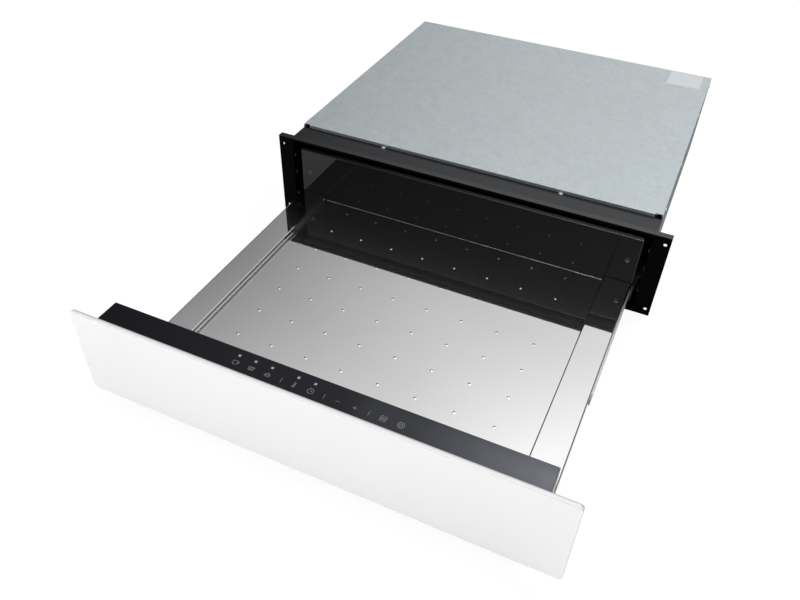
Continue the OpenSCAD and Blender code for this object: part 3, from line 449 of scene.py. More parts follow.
# %% Rear wall
wall_low, wall_high = box_mm("rear_wall")
SHOULDER_Z, WALL_LOW_HALF = LEDGE_Z + 0.5, 255.7
WALL_T, HEM_FOLD = 1.0, 1.6


def wall_skin():
    """x is the share across times the half width, which steps from narrow to wide at the shoulder."""
    y, top = wall_low[1], wall_high[2]
    line, normal = folded([[y, wall_low[2]], [y, SHOULDER_Z - 0.4], [y, SHOULDER_Z], [y, top],
                           [wall_high[1], top]], HEM_FOLD)
    front, back = run_along(line, normal, WALL_T, np.linspace(-1, 1, 13), (1, 2))
    half = np.interp(line[:, 1], [SHOULDER_Z - 0.4, SHOULDER_Z], [WALL_LOW_HALF, wall_high[0]])
    front[..., 0] *= half[:, None]
    back[..., 0] *= half[:, None]
    return sheet(front, back)


piece("rear_wall_sheet", [wall_skin()], "drawer", "wall_black", ["rear_wall"])

# %% [markdown]
# ## Screws
#
# A pan head with a cross recess, drawn as a height over a disc. The recess is where a point is near
# one of the two arms of the cross, and the head rounds off towards its rim. Every screw is the same
# function with another place, direction and size.


# %% One screw, and the screws of a solid
def screw(seat, out, head_r, head_h, shank_r, shank_len):
    """Rings round the screw's axis: over the head, down its rim, in under it and along the shank.
    Height over the head is head_h * (1 - r^4)^0.5, less the recess where the cross is near."""
    out = np.array(out, float)
    u = np.array([0, 0, 1.0]) if abs(out[2]) < 0.5 else np.array([1.0, 0, 0])
    v = np.cross(out, u)
    angle = np.linspace(0, 2 * math.pi, 49)[:-1][None, :]
    share = np.concatenate([np.linspace(0.03, 0.62, 12), [0.7, 0.8, 0.88, 0.94, 0.98, 1.0]])[:, None]
    height = head_h * np.sqrt(np.clip(1 - share ** 4, 0, 1)) * 0.75 + head_h * 0.25
    a, b = share * np.cos(angle), share * np.sin(angle)
    arm = np.minimum(np.abs(a), np.abs(b))
    recess = np.clip((0.17 - arm) / 0.05, 0, 1) * np.clip((0.6 - share) / 0.08, 0, 1)
    height = height - recess * head_h * 0.55
    foot = np.array([[1.0, 0.0], [shank_r / head_r, 0.0], [shank_r / head_r, -shank_len]])
    reach = np.concatenate([np.broadcast_to(share, height.shape), np.repeat(foot[:, :1], 48, 1)]) * head_r
    height = np.concatenate([height, np.repeat(foot[:, 1:], 48, 1)])
    loops = (np.array(seat, float) + (reach * np.cos(angle))[..., None] * u
             + (reach * np.sin(angle))[..., None] * v + height[..., None] * out)
    return stack(loops)


# Radius and height of the head, then radius and length of the shank.
FRAME_SCREW = (3.0, 1.2, 1.5, 3.0)
TAB_SCREW = (2.9, 1.4, 1.5, 2.5)
FLANK_SCREW = (2.1, 1.7, 1.5, 3.5)
WALL_SCREW = (3.5, 1.2, 1.5, 5.0)
frame_high = box_mm("front_frame")[1]
fs_low, fs_high = box_mm("frame_screws")
OPEN_HALF = fs_high[0] - 3.3
frame_side = [screw([side * OPEN_HALF, (fs_low[1] + fs_high[1]) / 2, z], [-side, 0, 0], *FRAME_SCREW)
              for side in (-1, 1) for z in (34, 73.5, 104)]
piece("frame_side_screws", frame_side, "housing", "screw_black", ["frame_screws"])

casing_high = box_mm("top_cover")[1]
LIP_Y, CASING_HALF, TAB_X, COVER_T = 41.0, casing_high[0], 138, 0.8
SIDE_SCREW_Z = (frame_high[2] + casing_high[2] - COVER_T) / 2
cover_set = [screw([side * TAB_X, LIP_Y - 3.5, frame_high[2] + COVER_T], [0, 0, 1], *TAB_SCREW)
             for side in (-1, 1)]
cover_set += [screw([side * CASING_HALF, y, SIDE_SCREW_Z], [side, 0, 0], *FLANK_SCREW)
              for side in (-1, 1) for y in (63, 193, 365.2, 485)]
piece("cover_fixing_screws", cover_set, "housing", "screw_steel", ["cover_screws"])

ws_high = box_mm("rear_wall_screws")[1]
wall_set = [screw([side * (ws_high[0] - 3.5), wall_low[1], 79], [0, -1, 0], *WALL_SCREW)
            for side in (-1, 1)]
piece("rear_wall_fixing_screws", wall_set, "drawer", "screw_black", ["rear_wall_screws"])

# %% [markdown]
# ## The galvanised top cover and its blank sticker
#
# One sheet: a short lip turned down in front, the wide flat top, notched at both front corners so
# the side sheets clear it, two tabs for its front screws and a flange down each side. It stops a
# tenth of a millimetre under the solid's top, which leaves room for the sticker.

# %% Top cover
STICKER_T, NOTCH_DEEP, NOTCH_WIDE, COVER_FOLD = 0.1, 3, 10.5, 0.85
TAB_HALF, TAB_OUT = 3.6, 7
cover_top = casing_high[2] - STICKER_T
lip_foot = frame_high[2]


def cover_skin():
    """The half width is small in front of the notches and full behind them."""
    step = [LIP_Y + NOTCH_DEEP - 0.1, LIP_Y + NOTCH_DEEP + 0.1]
    line, normal = folded([[LIP_Y, lip_foot], [LIP_Y, cover_top], [step[0], cover_top],
                           [step[1], cover_top], [casing_high[1], cover_top]], COVER_FOLD)
    front, back = run_along(line, normal, COVER_T, np.linspace(-1, 1, 25), (1, 2))
    half = np.interp(line[:, 0], step, [CASING_HALF - NOTCH_WIDE, CASING_HALF])
    front[..., 0] *= half[:, None]
    back[..., 0] *= half[:, None]
    return sheet(front, back)


tabs = [plate([side * TAB_X - TAB_HALF, LIP_Y - TAB_OUT, lip_foot],
              [side * TAB_X + TAB_HALF, LIP_Y + COVER_T, lip_foot + COVER_T], 3.4, 0.15, 2)
        for side in (-1, 1)]
flanges = [plate([low, LIP_Y + NOTCH_DEEP, lip_foot], [high, casing_high[1] - 0.9, cover_top - 0.5],
                 0.3, 0.1, 0)
           for low, high in ((-CASING_HALF + COVER_T, -CASING_HALF + 2 * COVER_T),
                             (CASING_HALF - 2 * COVER_T, CASING_HALF - COVER_T))]
piece("galvanised_cover", [cover_skin()] + tabs + flanges, "housing", "galvanised", ["top_cover"])

# %% Sticker
label_low, label_high = [208.6, 459.7, cover_top], [264.5, 514.5, casing_high[2]]
sticker = piece("blank_sticker", [plate(label_low, label_high, 1.5, 0.03, 2)], "housing")

# %% [markdown]
# ## Solids with broken edges
#
# The frame and the box behind the glass are right as they are, down to their holes, apart from
# their edges. Their meshes are loose triangles, so a copy is merged, its flat triangles are
# dissolved into whole faces, and a Bevel modifier rounds what is left as an edge.


# %% Rounded copies
def broken_edges(node, name, width, body, slot, segments=2):
    """A merged copy of a solid with a small bevel on every edge sharper than 35 degrees."""
    mesh = nodes[node].data.copy()
    mesh.name = name
    work = bmesh.new()
    work.from_mesh(mesh)
    bmesh.ops.remove_doubles(work, verts=work.verts, dist=2e-6)
    bmesh.ops.dissolve_limit(work, angle_limit=math.radians(0.6), verts=work.verts, edges=work.edges)
    work.to_mesh(mesh)
    work.free()
    made = show(name, mesh, body, slot, [node], 40, "rounded copy")
    bevel = made.modifiers.new("broken edges", "BEVEL")
    bevel.width = width
    bevel.segments = segments
    bevel.limit_method = "ANGLE"
    bevel.angle_limit = math.radians(35)
    bevel.harden_normals = True
    return made


broken_edges("front_frame", "black_front_frame", 0.0005, "housing", "black_enamel")
broken_edges("front_box", "steel_front_box", 0.0003, "drawer", "stainless")

# %% [markdown]
# ## Glass wool
#
# Two mats of glass wool keep the heat in: one over the cavity and one in the pan under the tray.
# The solids say how much room they have. The mats fill it as the real ones do, with a surface that
# rolls a little and edges that thin out where they were cut.


# %% Mats
def mat(name, node, hollow, body, seed):
    """Two height fields, back to back. Each is a full face, less a roll made of a few sine waves,
    less an edge that falls away as a quarter circle, less a round hollow where something is bedded."""
    low, high = box_mm(node)
    middle, half = (low + high) / 2, (high - low) / 2
    wave = np.random.default_rng(seed)
    x = np.unique(np.concatenate([np.linspace(low[0], high[0], 70), np.linspace(-11, 11, 15)]))
    y = np.unique(np.concatenate([np.linspace(low[1], high[1], 60), middle[1] + np.linspace(-11, 11, 15)]))
    gx, gy = np.meshgrid(x, y, indexing="ij")
    inside = np.minimum(half[0] - np.abs(gx - middle[0]), half[1] - np.abs(gy - middle[1]))
    rim = np.clip(inside / (2.2 * half[2]), 0, 1)
    edge = np.sqrt(1 - (1 - rim) ** 2) * 0.9 + 0.1
    faces = []
    for side in (1, -1):
        roll = sum(np.sin(gx * f + p) * np.sin(gy * g + q)
                   for f, g, p, q in zip(*(wave.uniform(0.02, 0.16, 6) for _ in range(2)),
                                         *(wave.uniform(0, 6.3, 6) for _ in range(2)))) / 6
        height = half[2] * edge * (0.93 + 0.07 * roll)
        if side > 0 and hollow:
            d = np.hypot(gx, gy - middle[1])
            height = height - hollow * np.clip((9.0 - d) / 3.0, 0, 1)
        faces.append(np.stack([gx, gy, middle[2] + side * height], -1))
    made = piece(name, [sheet(*faces)], body, "glass_wool", [node], 80)
    return made


SENSOR_HOLLOW = 9.2
mat("wool_over_cavity", "insulation_blanket", 0, "housing", 3)
mat("wool_under_tray", "insulation_pad", SENSOR_HOLLOW, "drawer", 5)

# %% [markdown]
# ## Shader maths as Python
#
# A finish is a small tree of nodes. Written by hand it takes several lines to add two numbers, so
# one class wraps a number socket and lets Python's own signs add the Math nodes. Another holds the
# tree and adds every other kind of node.


# %% Numbers and trees
class Number:
    """A number socket. + - and * with numbers or other sockets add Math nodes to its tree."""

    def __init__(self, tree, socket):
        self.tree, self.socket = tree, socket

    def _math(self, operation, *values):
        return self.tree.number("ShaderNodeMath", {"operation": operation}, dict(enumerate(values)))

    def __add__(self, other):
        return self._math("ADD", self, other)

    def __sub__(self, other):
        return self._math("SUBTRACT", self, other)

    def __mul__(self, other):
        return self._math("MULTIPLY", self, other)

    def __rsub__(self, other):
        return self._math("SUBTRACT", other, self)

    __radd__, __rmul__ = __add__, __mul__

    def smaller(self, other):
        return self._math("MINIMUM", self, other)

    def larger(self, other):
        return self._math("MAXIMUM", self, other)

    def size(self):
        return self._math("ABSOLUTE", self)

    def over(self, edge, soft):
        """0 below edge - soft and 1 above edge + soft, with a smooth rise between."""
        return self.tree.number("ShaderNodeMapRange", {"interpolation_type": "SMOOTHSTEP"},
                                {0: self, 1: edge - soft, 2: edge + soft, 3: 0.0, 4: 1.0})


class Tree:
    """A node tree, and the one method that adds a node of any type to it."""

    def __init__(self, tree):
        self.tree = tree

    def node(self, kind, settings=None, values=None):
        """Settings are set first. Then each input, by name or number, gets a value or a link."""
        made = self.tree.nodes.new(kind)
        for key, value in (settings or {}).items():
            setattr(made, key, value)
        for key, value in (values or {}).items():
            self.feed(made.inputs[key], value)
        return made

    def feed(self, socket, value):
        """Links a socket or a Number, or sets a constant."""
        if isinstance(value, Number):
            value = value.socket
        if isinstance(value, bpy.types.NodeSocket):
            self.tree.links.new(value, socket)
        elif socket.type == "RGBA" and len(value) == 3:
            socket.default_value = (*value, 1)
        else:
            socket.default_value = value

    def number(self, kind, settings=None, values=None, output=0):
        return Number(self, self.node(kind, settings, values).outputs[output])

    def mix(self, share, a, b):
        """The colour a where share is 0 and b where it is 1."""
        return self.node("ShaderNodeMix", {"data_type": "RGBA"}, {0: share, 6: a, 7: b}).outputs[2]

    def split(self, vector):
        """The three numbers of a vector."""
        parts = self.node("ShaderNodeSeparateXYZ", {}, {0: vector}).outputs
        return [Number(self, part) for part in parts]


# %% A finish: one material with its textures
class Finish(Tree):
    """A material. Patterns read Object coordinates, which are the drawing's place in metres."""

    def __init__(self, name, **constants):
        self.material = bpy.data.materials.new(name)
        self.material.use_nodes = True
        super().__init__(self.material.node_tree)
        self.shader = self.tree.nodes["Principled BSDF"]
        self.place = self.node("ShaderNodeTexCoord").outputs["Object"]
        self.set(**constants)

    def set(self, **values):
        """Feeds the shader: base_color=... goes to Base Color, and so on."""
        for key, value in values.items():
            words = key.replace("_", " ").title().replace("Ior", "IOR")
            self.feed(self.shader.inputs[words], value)

    def stretched(self, stretch):
        """Object coordinates times a vector, which squeezes a pattern along an axis."""
        if stretch == (1, 1, 1):
            return self.place
        times = self.node("ShaderNodeVectorMath", {"operation": "MULTIPLY"}, {0: self.place, 1: stretch})
        return times.outputs[0]

    def noise(self, scale, detail=3.0, stretch=(1, 1, 1)):
        """Cloudy noise from 0 to 1. The scale is in waves per metre."""
        return self.number("ShaderNodeTexNoise", {}, {"Vector": self.stretched(stretch), "Scale": scale,
                                                      "Detail": detail})

    def cells(self, scale, stretch=(1, 1, 1)):
        """A random number per cell of a Voronoi pattern."""
        colour = self.node("ShaderNodeTexVoronoi", {}, {"Vector": self.stretched(stretch), "Scale": scale})
        return self.split(colour.outputs["Color"])[0]

    def relief(self, height, depth, strength=1.0):
        """Feeds Normal from a height: depth is how many metres a height of 1 stands out."""
        bump = self.node("ShaderNodeBump", {}, {"Strength": strength, "Distance": depth, "Height": height})
        self.set(normal=bump.outputs[0])


FINISHES = {}


def finish_for(slot):
    """Registers a function as the maker of one slot's material."""
    def register(make):
        FINISHES[slot] = make(slot)
        print("finish", slot, len(FINISHES[slot].tree.nodes), "nodes")
        return make
    return register


# %% [markdown]
# ## Metals
#
# Polished stainless steel is a mirror with a history: it is nearly smooth, with hairline rolling
# marks along the sheet and a slow ripple that bends reflections a little. Dark things mirrored in it
# look veiled, so a rough clear coat lies over the mirror. Galvanised steel shows its zinc crystals as
# faint patches, each turned its own way. The black parts are enamelled, and under a lamp enamel looks
# like orange peel.
#
# A few masks follow the drawing and paint shade. Object coordinates are places on the part, in metres, so
# painted shade can begin at the cover's lip, at a flank, or where a slide leaves the frame.


# %% Polished and plated steel
BOX_SIDE_X, BOX_SHADOW_RIM_Z, FLANK_X = 0.26515, 0.1280, 0.2783


@finish_for("stainless")
def polished(name):
    """Mirror under a rough coat. The box's sides have no coat, and its rim beside the glass is near black:
    a painted shadow line.
    """
    f = Finish(name, metallic=1.0, coat_roughness=0.32, coat_ior=1.5)
    x, _, z = f.split(f.place)
    side = x.size().over(BOX_SIDE_X, 0.00004)
    # Painted shadow: above this height, the box's rim beside the glass is made near black.
    rim = side * z.over(BOX_SHADOW_RIM_Z, 0.0003)
    marks = f.noise(900, 2, (1, 0.02, 1))
    cloud = f.noise(9, 2)
    steel = f.mix(cloud, (0.80, 0.80, 0.80), (0.86, 0.86, 0.86))
    f.set(base_color=f.mix(rim, steel, (0.025, 0.025, 0.027)), coat_weight=1 - side,
          roughness=0.02 + 0.014 * marks + 0.006 * cloud)
    f.relief(f.noise(6, 1, (1, 0.6, 1)) + 0.002 * marks, 0.00003, 0.5)
    return f


@finish_for("galvanised")
def galvanised(name):
    """Zinc crystals of two sizes. The lip in front and the flanks get painted shade, so they are darker
    than the top.
    """
    f = Finish(name, metallic=0.7, specular_ior_level=0.6)
    crystal = 0.6 * f.cells(230, (1, 0.7, 1)) + 0.4 * f.cells(90)
    fine = f.noise(1100, 3)
    cloud = f.noise(7, 2)
    tone = 0.45 * crystal + 0.35 * fine + 0.2 * cloud
    x, y, _ = f.split(f.place)
    # Painted shade: the front lip and the flanks get darker tones than the top.
    lip = 1 - y.over(FRONT_Y + (LIP_Y + 0.5) / 1000, 0.0002)
    shaded_flank = x.size().over(FLANK_X, 0.0001)
    top = f.mix(tone, (0.54, 0.60, 0.62), (0.72, 0.785, 0.81))
    front = f.mix(lip, top, f.mix(tone, (0.27, 0.29, 0.30), (0.38, 0.40, 0.41)))
    f.set(base_color=f.mix(shaded_flank, front, f.mix(tone, (0.25, 0.275, 0.285), (0.37, 0.40, 0.41))),
          roughness=0.30 + 0.10 * crystal + 0.35 * shaded_flank)
    f.relief(0.6 * fine + 0.4 * crystal, 0.00003, 0.5)
    return f


@finish_for("zinc_steel")
def zinc_plated(name):
    """Bright where a slide stands out of the frame, and darkened with painted shade inside it."""
    f = Finish(name, metallic=0.5)
    drawn = f.noise(700, 3, (1, 0.03, 1))
    cloud = f.noise(30, 2)
    # Painted shade: inside the frame the slides get a near black tone.
    inside = f.split(f.place)[1].over(FRONT_Y + 0.003, 0.006)
    bright = f.mix(cloud, (0.86, 0.87, 0.88), (0.95, 0.96, 0.97))
    shaded_inside_tone = f.mix(cloud, (0.10, 0.11, 0.12), (0.15, 0.16, 0.17))
    f.set(base_color=f.mix(inside, bright, shaded_inside_tone), roughness=0.30 + 0.16 * drawn)
    f.relief(drawn, 0.00001, 0.4)
    return f


@finish_for("screw_steel")
def screw_steel(name):
    f = Finish(name, metallic=1.0)
    speck = f.noise(1600, 3)
    f.set(base_color=f.mix(speck, (0.84, 0.85, 0.87), (0.94, 0.95, 0.96)), roughness=0.34 + 0.16 * speck)
    f.relief(speck, 0.00001, 0.5)
    return f


@finish_for("screw_black")
def screw_black(name):
    f = Finish(name, specular_ior_level=1.0)
    speck = f.noise(1600, 3)
    f.set(base_color=f.mix(speck, (0.02, 0.02, 0.021), (0.05, 0.05, 0.052)), roughness=0.06 + 0.08 * speck)
    f.relief(speck, 0.00001, 0.5)
    return f


@finish_for("foil")
def rolled_aluminium(name):
    f = Finish(name, metallic=1.0)
    rolled = f.noise(1300, 2, (1, 0.02, 1))
    crumple = f.noise(160, 3)
    f.set(base_color=f.mix(crumple, (0.74, 0.75, 0.76), (0.86, 0.86, 0.87)), roughness=0.2 + 0.2 * rolled)
    f.relief(crumple + 0.1 * rolled, 0.0002, 0.5)
    return f


@finish_for("retainer_brass")
def strip_brass(name):
    f = Finish(name, metallic=0.6)
    tarnish = f.noise(240, 4)
    f.set(base_color=f.mix(tarnish, (0.60, 0.50, 0.30), (0.88, 0.80, 0.58)), roughness=0.2 + 0.25 * tarnish)
    f.relief(f.noise(2400, 2), 0.000008, 0.5)
    return f


@finish_for("heater_sheath")
def heated_steel(name):
    f = Finish(name, metallic=1.0)
    heat = f.noise(70, 3)
    f.set(base_color=f.mix(heat, (0.10, 0.085, 0.08), (0.30, 0.26, 0.24)), roughness=0.35 + 0.25 * heat)
    f.relief(f.noise(1800, 3), 0.00002, 0.5)
    return f


# %% Enamel and paint
FRAME_TOP_Z, HEM_Z, WALL_EDGE_X = 0.1350, 0.1158, 0.2647
BAND_LOW_Z, BAND_HIGH_Z = 0.1315, 0.1349


def enamel(name, dark, light, rough, peel, ior=1.5, depth=0.00002):
    """A dark paint film: a slow change of tone, orange peel as relief, and specks of dust."""
    f = Finish(name, ior=ior)
    skin = f.noise(peel, 2)
    dust = f.noise(2600, 1).over(0.74, 0.03)
    tone = f.noise(11, 2)
    f.set(base_color=f.mix(0.8 * tone + 0.2 * dust, dark, light),
          roughness=rough * (1 + 0.3 * skin + 0.4 * dust))
    f.relief(skin, depth, 0.35)
    return f


@finish_for("black_enamel")
def frame_enamel(name):
    """Nearly matt, with a clear coat on the top face alone."""
    f = enamel(name, (0.0012, 0.0012, 0.0014), (0.002, 0.002, 0.0023), 0.32, 420, 1.08)
    top = f.split(f.place)[2].over(FRAME_TOP_Z, 0.0001)
    f.set(coat_weight=top, coat_roughness=0.12, coat_ior=1.75)
    return f


@finish_for("cavity_black")
def cavity_enamel(name):
    """A glossy blue black. The band just under the roof is paler: painted light, as if lit from the tray.
    """
    f = enamel(name, (0.0012, 0.0014, 0.0022), (0.002, 0.0023, 0.0034), 0.22, 600, 1.64, 0.000003)
    f.set(specular_tint=(0.92, 0.95, 1.0))
    z = f.split(f.place)[2]
    # Painted light: a paler band under the roof, where light from the tray would fall.
    lit_ceiling_band = z.over(BAND_LOW_Z, 0.0003) * (1 - z.over(BAND_HIGH_Z, 0.0001))
    f.set(base_color=f.mix(lit_ceiling_band, (0.0016, 0.0018, 0.0028), (0.030, 0.040, 0.055)))
    return f


@finish_for("wall_black")
def wall_enamel(name):
    """A black mirror whose tone grows lighter from left to right as painted light, with a painted highlight
    on the hem and the right edge.
    """
    f = enamel(name, (0.0026, 0.0026, 0.0027), (0.0038, 0.0036, 0.0035), 0.012, 90, 1.62, 0.0000005)
    x, _, z = f.split(f.place)
    # Painted light: both tones grow lighter from left to right, and the hem and the right edge get a
    # painted highlight.
    film = f.mix(x.over(0, 0.3), (0.0036, 0.0034, 0.0032), (0.0046, 0.0046, 0.0048))
    highlight_tone = f.mix(x.over(0, 0.3), (0.012, 0.012, 0.012), (0.140, 0.140, 0.140))
    highlight_edges = z.over(HEM_Z, 0.0003).larger(x.over(WALL_EDGE_X, 0.0001))
    f.set(base_color=f.mix(highlight_edges, film, highlight_tone))
    return f


@finish_for("motor_grey")
def motor_paint(name):
    return enamel(name, (0.10, 0.105, 0.115), (0.17, 0.175, 0.185), 0.4, 500)


# %% [markdown]
# ## Glass, ink and label
#
# The white glass is paint seen through clear glass: the paint gives the colour, and a clear coat
# gives the reflection. At the ground rim the paint ends, and the edge turns grey towards its back.


# %% Painted glass
@finish_for("white_glass")
def white_glass(name):
    f = Finish(name, coat_roughness=0.02, specular_ior_level=0.2, roughness=0.3)
    rim = f.number("ShaderNodeAttribute", {"attribute_name": "rim"}, {}, 2)
    paint = f.mix(f.noise(5, 2), (0.80, 0.80, 0.80), (0.83, 0.83, 0.83))
    shade = f.split(f.place)[1].over(FRONT_Y + (GLASS_BACK_Y - 1.8) / 1000, 0.0022)
    f.set(base_color=f.mix(rim, paint, f.mix(shade, (0.78, 0.78, 0.78), (0.42, 0.42, 0.43))),
          coat_weight=1 - 0.8 * rim)
    f.relief(f.noise(30, 1), 0.00002, 0.3)
    return f


@finish_for("black_glass")
def black_glass(name):
    f = Finish(name, ior=1.43, specular_tint=(0.86, 0.89, 1.0))
    smear = f.noise(60, 3, (1, 0.5, 1))
    rim = f.number("ShaderNodeAttribute", {"attribute_name": "rim"}, {}, 2)
    film = f.mix(smear, (0.0002, 0.0003, 0.0014), (0.0008, 0.0009, 0.0026))
    f.set(base_color=f.mix(rim, film, (0.16, 0.17, 0.18)), roughness=0.18 + 0.05 * smear)
    f.relief(f.noise(40, 1), 0.00001, 0.3)
    return f


def ink_finish(name, dark, light, rough):
    """Screen printing ink: tiny grains that vary in tone and stand up a little."""
    f = Finish(name)
    grain = f.noise(5200, 2)
    f.set(base_color=f.mix(grain, dark, light), roughness=rough + 0.15 * grain)
    f.relief(grain, 0.00001, 0.4)
    return f


printed_grey = ink_finish("printed_grey", (0.20, 0.20, 0.21), (0.30, 0.30, 0.31), 0.5)
symbols.data.materials.append(printed_grey.material)


@finish_for("lamp_clear")
def lamp_window(name):
    return ink_finish(name, (0.26, 0.27, 0.29), (0.34, 0.35, 0.37), 0.3)


def label_paper():
    """Satin label film with faint fibre and a slow change of tone."""
    f = Finish("label_film", specular_ior_level=0.4)
    fibre = f.noise(900, 4, (1, 0.3, 1))
    f.set(base_color=f.mix(fibre, (0.50, 0.52, 0.54), (0.58, 0.60, 0.62)), roughness=0.45 + 0.1 * fibre)
    f.relief(fibre, 0.00001, 0.3)
    return f.material


sticker.data.materials.append(label_paper())

# %% [markdown]
# ## Plastics, rubber, wool and the boards
#
# The hidden parts get the same care, since the drawer is also seen from behind and with its pieces
# apart. Moulded plastic has a fine grain. The boards carry copper tracks under green lacquer.


# %% Moulded parts
def moulded(name, dark, light, rough, grain_scale):
    """Plastic or rubber from a textured mould: even colour, fine grain."""
    f = Finish(name)
    grain = f.noise(grain_scale, 3)
    cloud = f.noise(25, 2)
    f.set(base_color=f.mix(0.5 * grain + 0.5 * cloud, dark, light), roughness=rough + 0.12 * grain)
    f.relief(grain, 0.00003, 0.5)
    return f


@finish_for("black_plastic")
def black_plastic(name):
    return moulded(name, (0.012, 0.012, 0.012), (0.024, 0.024, 0.025), 0.42, 1500)


@finish_for("white_plastic")
def white_plastic(name):
    return moulded(name, (0.66, 0.66, 0.63), (0.76, 0.76, 0.73), 0.35, 1500)


@finish_for("rubber_black")
def rubber(name):
    return moulded(name, (0.010, 0.010, 0.010), (0.022, 0.022, 0.022), 0.68, 2200)


# %% Glass wool
@finish_for("glass_wool")
def glass_wool(name):
    """Fibres in three directions: noise stretched along each, and the brightest strand wins."""
    f = Finish(name, sheen_weight=0.2)
    strands = f.noise(1500, 2, (0.06, 1, 1)).larger(f.noise(1500, 2, (1, 0.06, 1))).larger(f.noise(900, 3))
    clump = f.noise(45, 3)
    wool = f.mix(0.7 * strands + 0.3 * clump, (0.52, 0.40, 0.14), (0.92, 0.82, 0.50))
    f.set(base_color=wool, roughness=0.9)
    f.relief(strands + clump, 0.0006, 0.8)
    return f


# %% Circuit boards
BOARD_FACE_Y, RELAYS_Z, CORE_X = 0.2233, 0.077, 0.178


def lines(f, axis_value, pitch, width):
    """1 within half a width of every multiple of pitch."""
    off = f.number("ShaderNodeMath", {"operation": "PINGPONG"}, {0: axis_value, 1: pitch / 2})
    return 1 - off.over(width / 2, width / 8)


@finish_for("board_green")
def board(name):
    """Tracks under green lacquer. What stands behind the supply board's face is dressed as its parts:
    blue relays above, black capacitors and a yellow-wound core below."""
    f = Finish(name, specular_ior_level=0.5)
    x, y, z = f.split(f.place)
    bent = 0.0012 * f.noise(150, 0)
    track = lines(f, x + bent, 0.0032, 0.0007).larger(lines(f, z + bent, 0.0047, 0.0007))
    green = f.mix(track * 0.6, (0.012, 0.075, 0.03), (0.035, 0.16, 0.06))
    behind = y.over(BOARD_FACE_Y, 0.0001)
    upper = z.over(RELAYS_Z, 0.0005)
    low_parts = f.mix(x.over(CORE_X, 0.001), (0.60, 0.42, 0.08), (0.015, 0.016, 0.02))
    parts = f.mix(upper, low_parts, (0.03, 0.10, 0.32))
    f.set(base_color=f.mix(behind, green, parts), roughness=0.32 + 0.12 * f.noise(800, 2))
    f.relief(track + 0.3 * f.noise(1800, 2), 0.00004, 0.5)
    return f


# %% Every solid and every piece gets its slot's finish
slot_of = {part["node"]: part["material_slot"] for part in frame["record"]["subparts"]}
for node, made in nodes.items():
    made.data.materials.clear()
    made.data.materials.append(FINISHES[slot_of[node]].material)
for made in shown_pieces():
    if "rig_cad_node" not in made and "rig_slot" in made:
        made.data.materials.clear()
        made.data.materials.append(FINISHES[made["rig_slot"]].material)

# %% [markdown]
# ## Light
#
# A studio for polished metal is mostly a bright room, because metal shows what stands around it.
# Here the room is a smooth gradient. Its light grows upwards, and from the left to the middle, and
# falls off again to the right. Three fields are brighter: straight behind the drawer, at the far left
# and high up on the right. The front of the room, behind the camera, is dim. The camera itself sees
# plain white.
#
# Two big lamps light the white and the matt parts and are hidden from mirrors. A row of small panels
# does the reverse. It hangs over the control strip, is seen in mirrors alone and gets brighter from
# panel to panel, so the black glass fades to grey towards the right.

# %% The room
world = bpy.data.worlds.new("studio")
bpy.context.scene.world = world
world.use_nodes = True
room = Tree(world.node_tree)
room.tree.nodes.clear()
toward = room.node("ShaderNodeTexCoord").outputs["Generated"]
to_right, to_back, upward = room.split(toward)
beside = to_right.smaller(0.05) - (to_right - 0.05).larger(0) * 1.5
far_left = (to_back - 0.62).larger(0) * (-0.1 - to_right).larger(0)
top_right = (to_right + 0.26).larger(0) * (upward - 0.68).larger(0)
level = (beside * 0.9 + upward * 1.78 - 0.36 + (to_back - 0.72).larger(0) * 1.5 + far_left * 2.5
         + top_right * 8)
level = (level * (1 + to_back.smaller(0) * 0.9)).larger(0.06).smaller(1.12)
path = room.node("ShaderNodeLightPath")
seen = Number(room, path.outputs["Is Camera Ray"])
strength = seen + (1 - seen) * level
background = room.node("ShaderNodeBackground", {}, {"Color": (1, 1, 1), "Strength": strength})
room.node("ShaderNodeOutputWorld", {}, {"Surface": background.outputs[0]})


# %% Soft lamps
def soft_lamp(name, place, aim, width, depth, watts, glossy=True):
    """A rectangular lamp at a place in metres, turned to look at its aim."""
    data = bpy.data.lights.new(name, "AREA")
    data.shape, data.size, data.size_y, data.energy = "RECTANGLE", width, depth, watts
    lamp = bpy.data.objects.new(name, data)
    lamp.location = place
    lamp.rotation_euler = (Vector(aim) - Vector(place)).to_track_quat("-Z", "Y").to_euler()
    lamp.visible_camera = False
    lamp.visible_glossy = glossy
    bpy.context.scene.collection.objects.link(lamp)
    return lamp


soft_lamp("front_fill", (-0.9, -3.3, 0.95), (0, -0.7, 0.05), 2.6, 1.6, 74, glossy=False)
soft_lamp("overhead", (1.4, 1.9, 2.3), (0, 0, 0.1), 2.4, 2.4, 84, glossy=False)
PANEL_Y, PANEL_Z, PANEL_DEEP = FRONT_Y - 0.2035, 0.429, 0.063
panels = [(-60, 45, 1.0), (45, 90, 1.9), (90, 135, 3.0), (135, 180, 4.5), (180, 225, 6.0), (225, 400, 7.7)]
for number, (left, right, bright) in enumerate(panels, 1):
    wide, x = (right - left) / 1000, (left + right) / 2000
    panel = soft_lamp(f"panel_{number}", (x, PANEL_Y, PANEL_Z), (x, PANEL_Y, 0), wide, PANEL_DEEP,
                      bright * math.pi * wide * PANEL_DEEP)
    panel.visible_diffuse = False

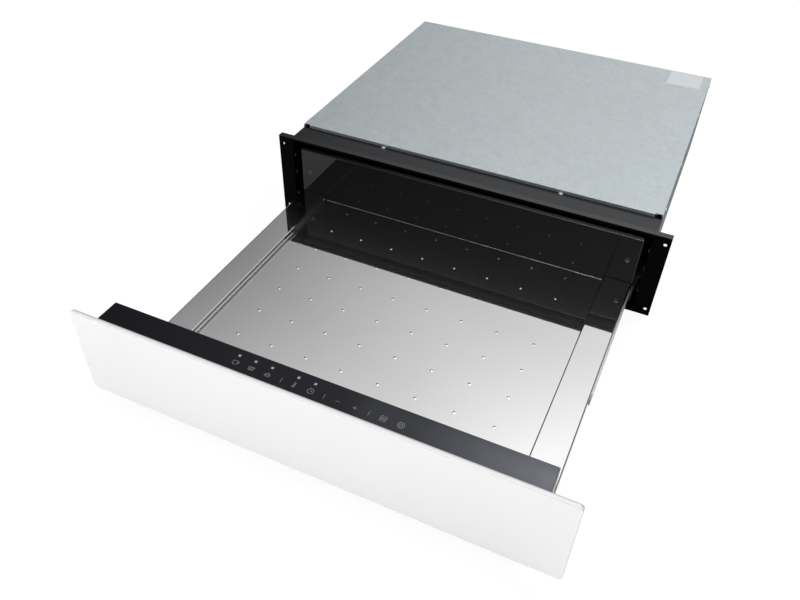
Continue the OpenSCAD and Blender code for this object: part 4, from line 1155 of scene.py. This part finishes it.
# %% [markdown]
# ## Floor and camera
#
# The floor looks nearly white to the camera and keeps a soft shadow. In mirrors it looks grey. The
# camera looks down over the front glass, from the right of the middle. Its place, turn and lens were
# worked out from the straight edges of a drawer of this size.

# %% Floor
CORNER, UNDER = 9.0, -0.0008
floor_mesh = bpy.data.meshes.new("floor")
floor_mesh.from_pydata([(-CORNER, -CORNER, UNDER), (CORNER, -CORNER, UNDER), (CORNER, CORNER, UNDER),
                        (-CORNER, CORNER, UNDER)], [], [(0, 1, 2, 3)])
floor = bpy.data.objects.new("floor", floor_mesh)
bpy.context.scene.collection.objects.link(floor)
ground = Finish("pale_floor", specular_ior_level=0.0, roughness=1.0)
path = ground.node("ShaderNodeLightPath")
direct = ground.number("ShaderNodeMath", {"operation": "MAXIMUM"},
                       {0: path.outputs["Is Camera Ray"], 1: path.outputs["Is Transmission Ray"]})
mirrored = Number(ground, path.outputs["Is Glossy Ray"])
paint = ground.mix(direct, (0.78, 0.78, 0.78), (0.10, 0.10, 0.10))
glow = ground.mix(direct, (0, 0, 0), (0.92, 0.92, 0.92))
ground.set(base_color=ground.mix(mirrored, paint, (0.30, 0.30, 0.30)),
           emission_color=ground.mix(mirrored, glow, (0.19, 0.18, 0.175)), emission_strength=1.0)
floor_mesh.materials.append(ground.material)

# %% Camera
LENS, PLACE = 33.954, (0.297241, -1.132029, 0.717183)
yaw, pitch, roll = (math.radians(a) for a in (23.726, 41.305, 1.784))
ahead = Vector((-math.sin(yaw) * math.cos(pitch), math.cos(yaw) * math.cos(pitch), -math.sin(pitch)))
level_right = Vector((math.cos(yaw), math.sin(yaw), 0))
level_up = level_right.cross(ahead)
right = math.cos(roll) * level_right + math.sin(roll) * level_up
up = math.cos(roll) * level_up - math.sin(roll) * level_right
camera_data = bpy.data.cameras.new("camera")
camera_data.lens, camera_data.sensor_width = LENS, 36
camera_data.clip_start, camera_data.clip_end = 0.01, 100
camera = bpy.data.objects.new("camera", camera_data)
camera.matrix_world = Matrix.Translation(PLACE) @ Matrix((right, up, -ahead)).transposed().to_4x4()
bpy.context.scene.collection.objects.link(camera)
bpy.context.scene.camera = camera
bpy.context.scene.view_settings.view_transform = "Standard"
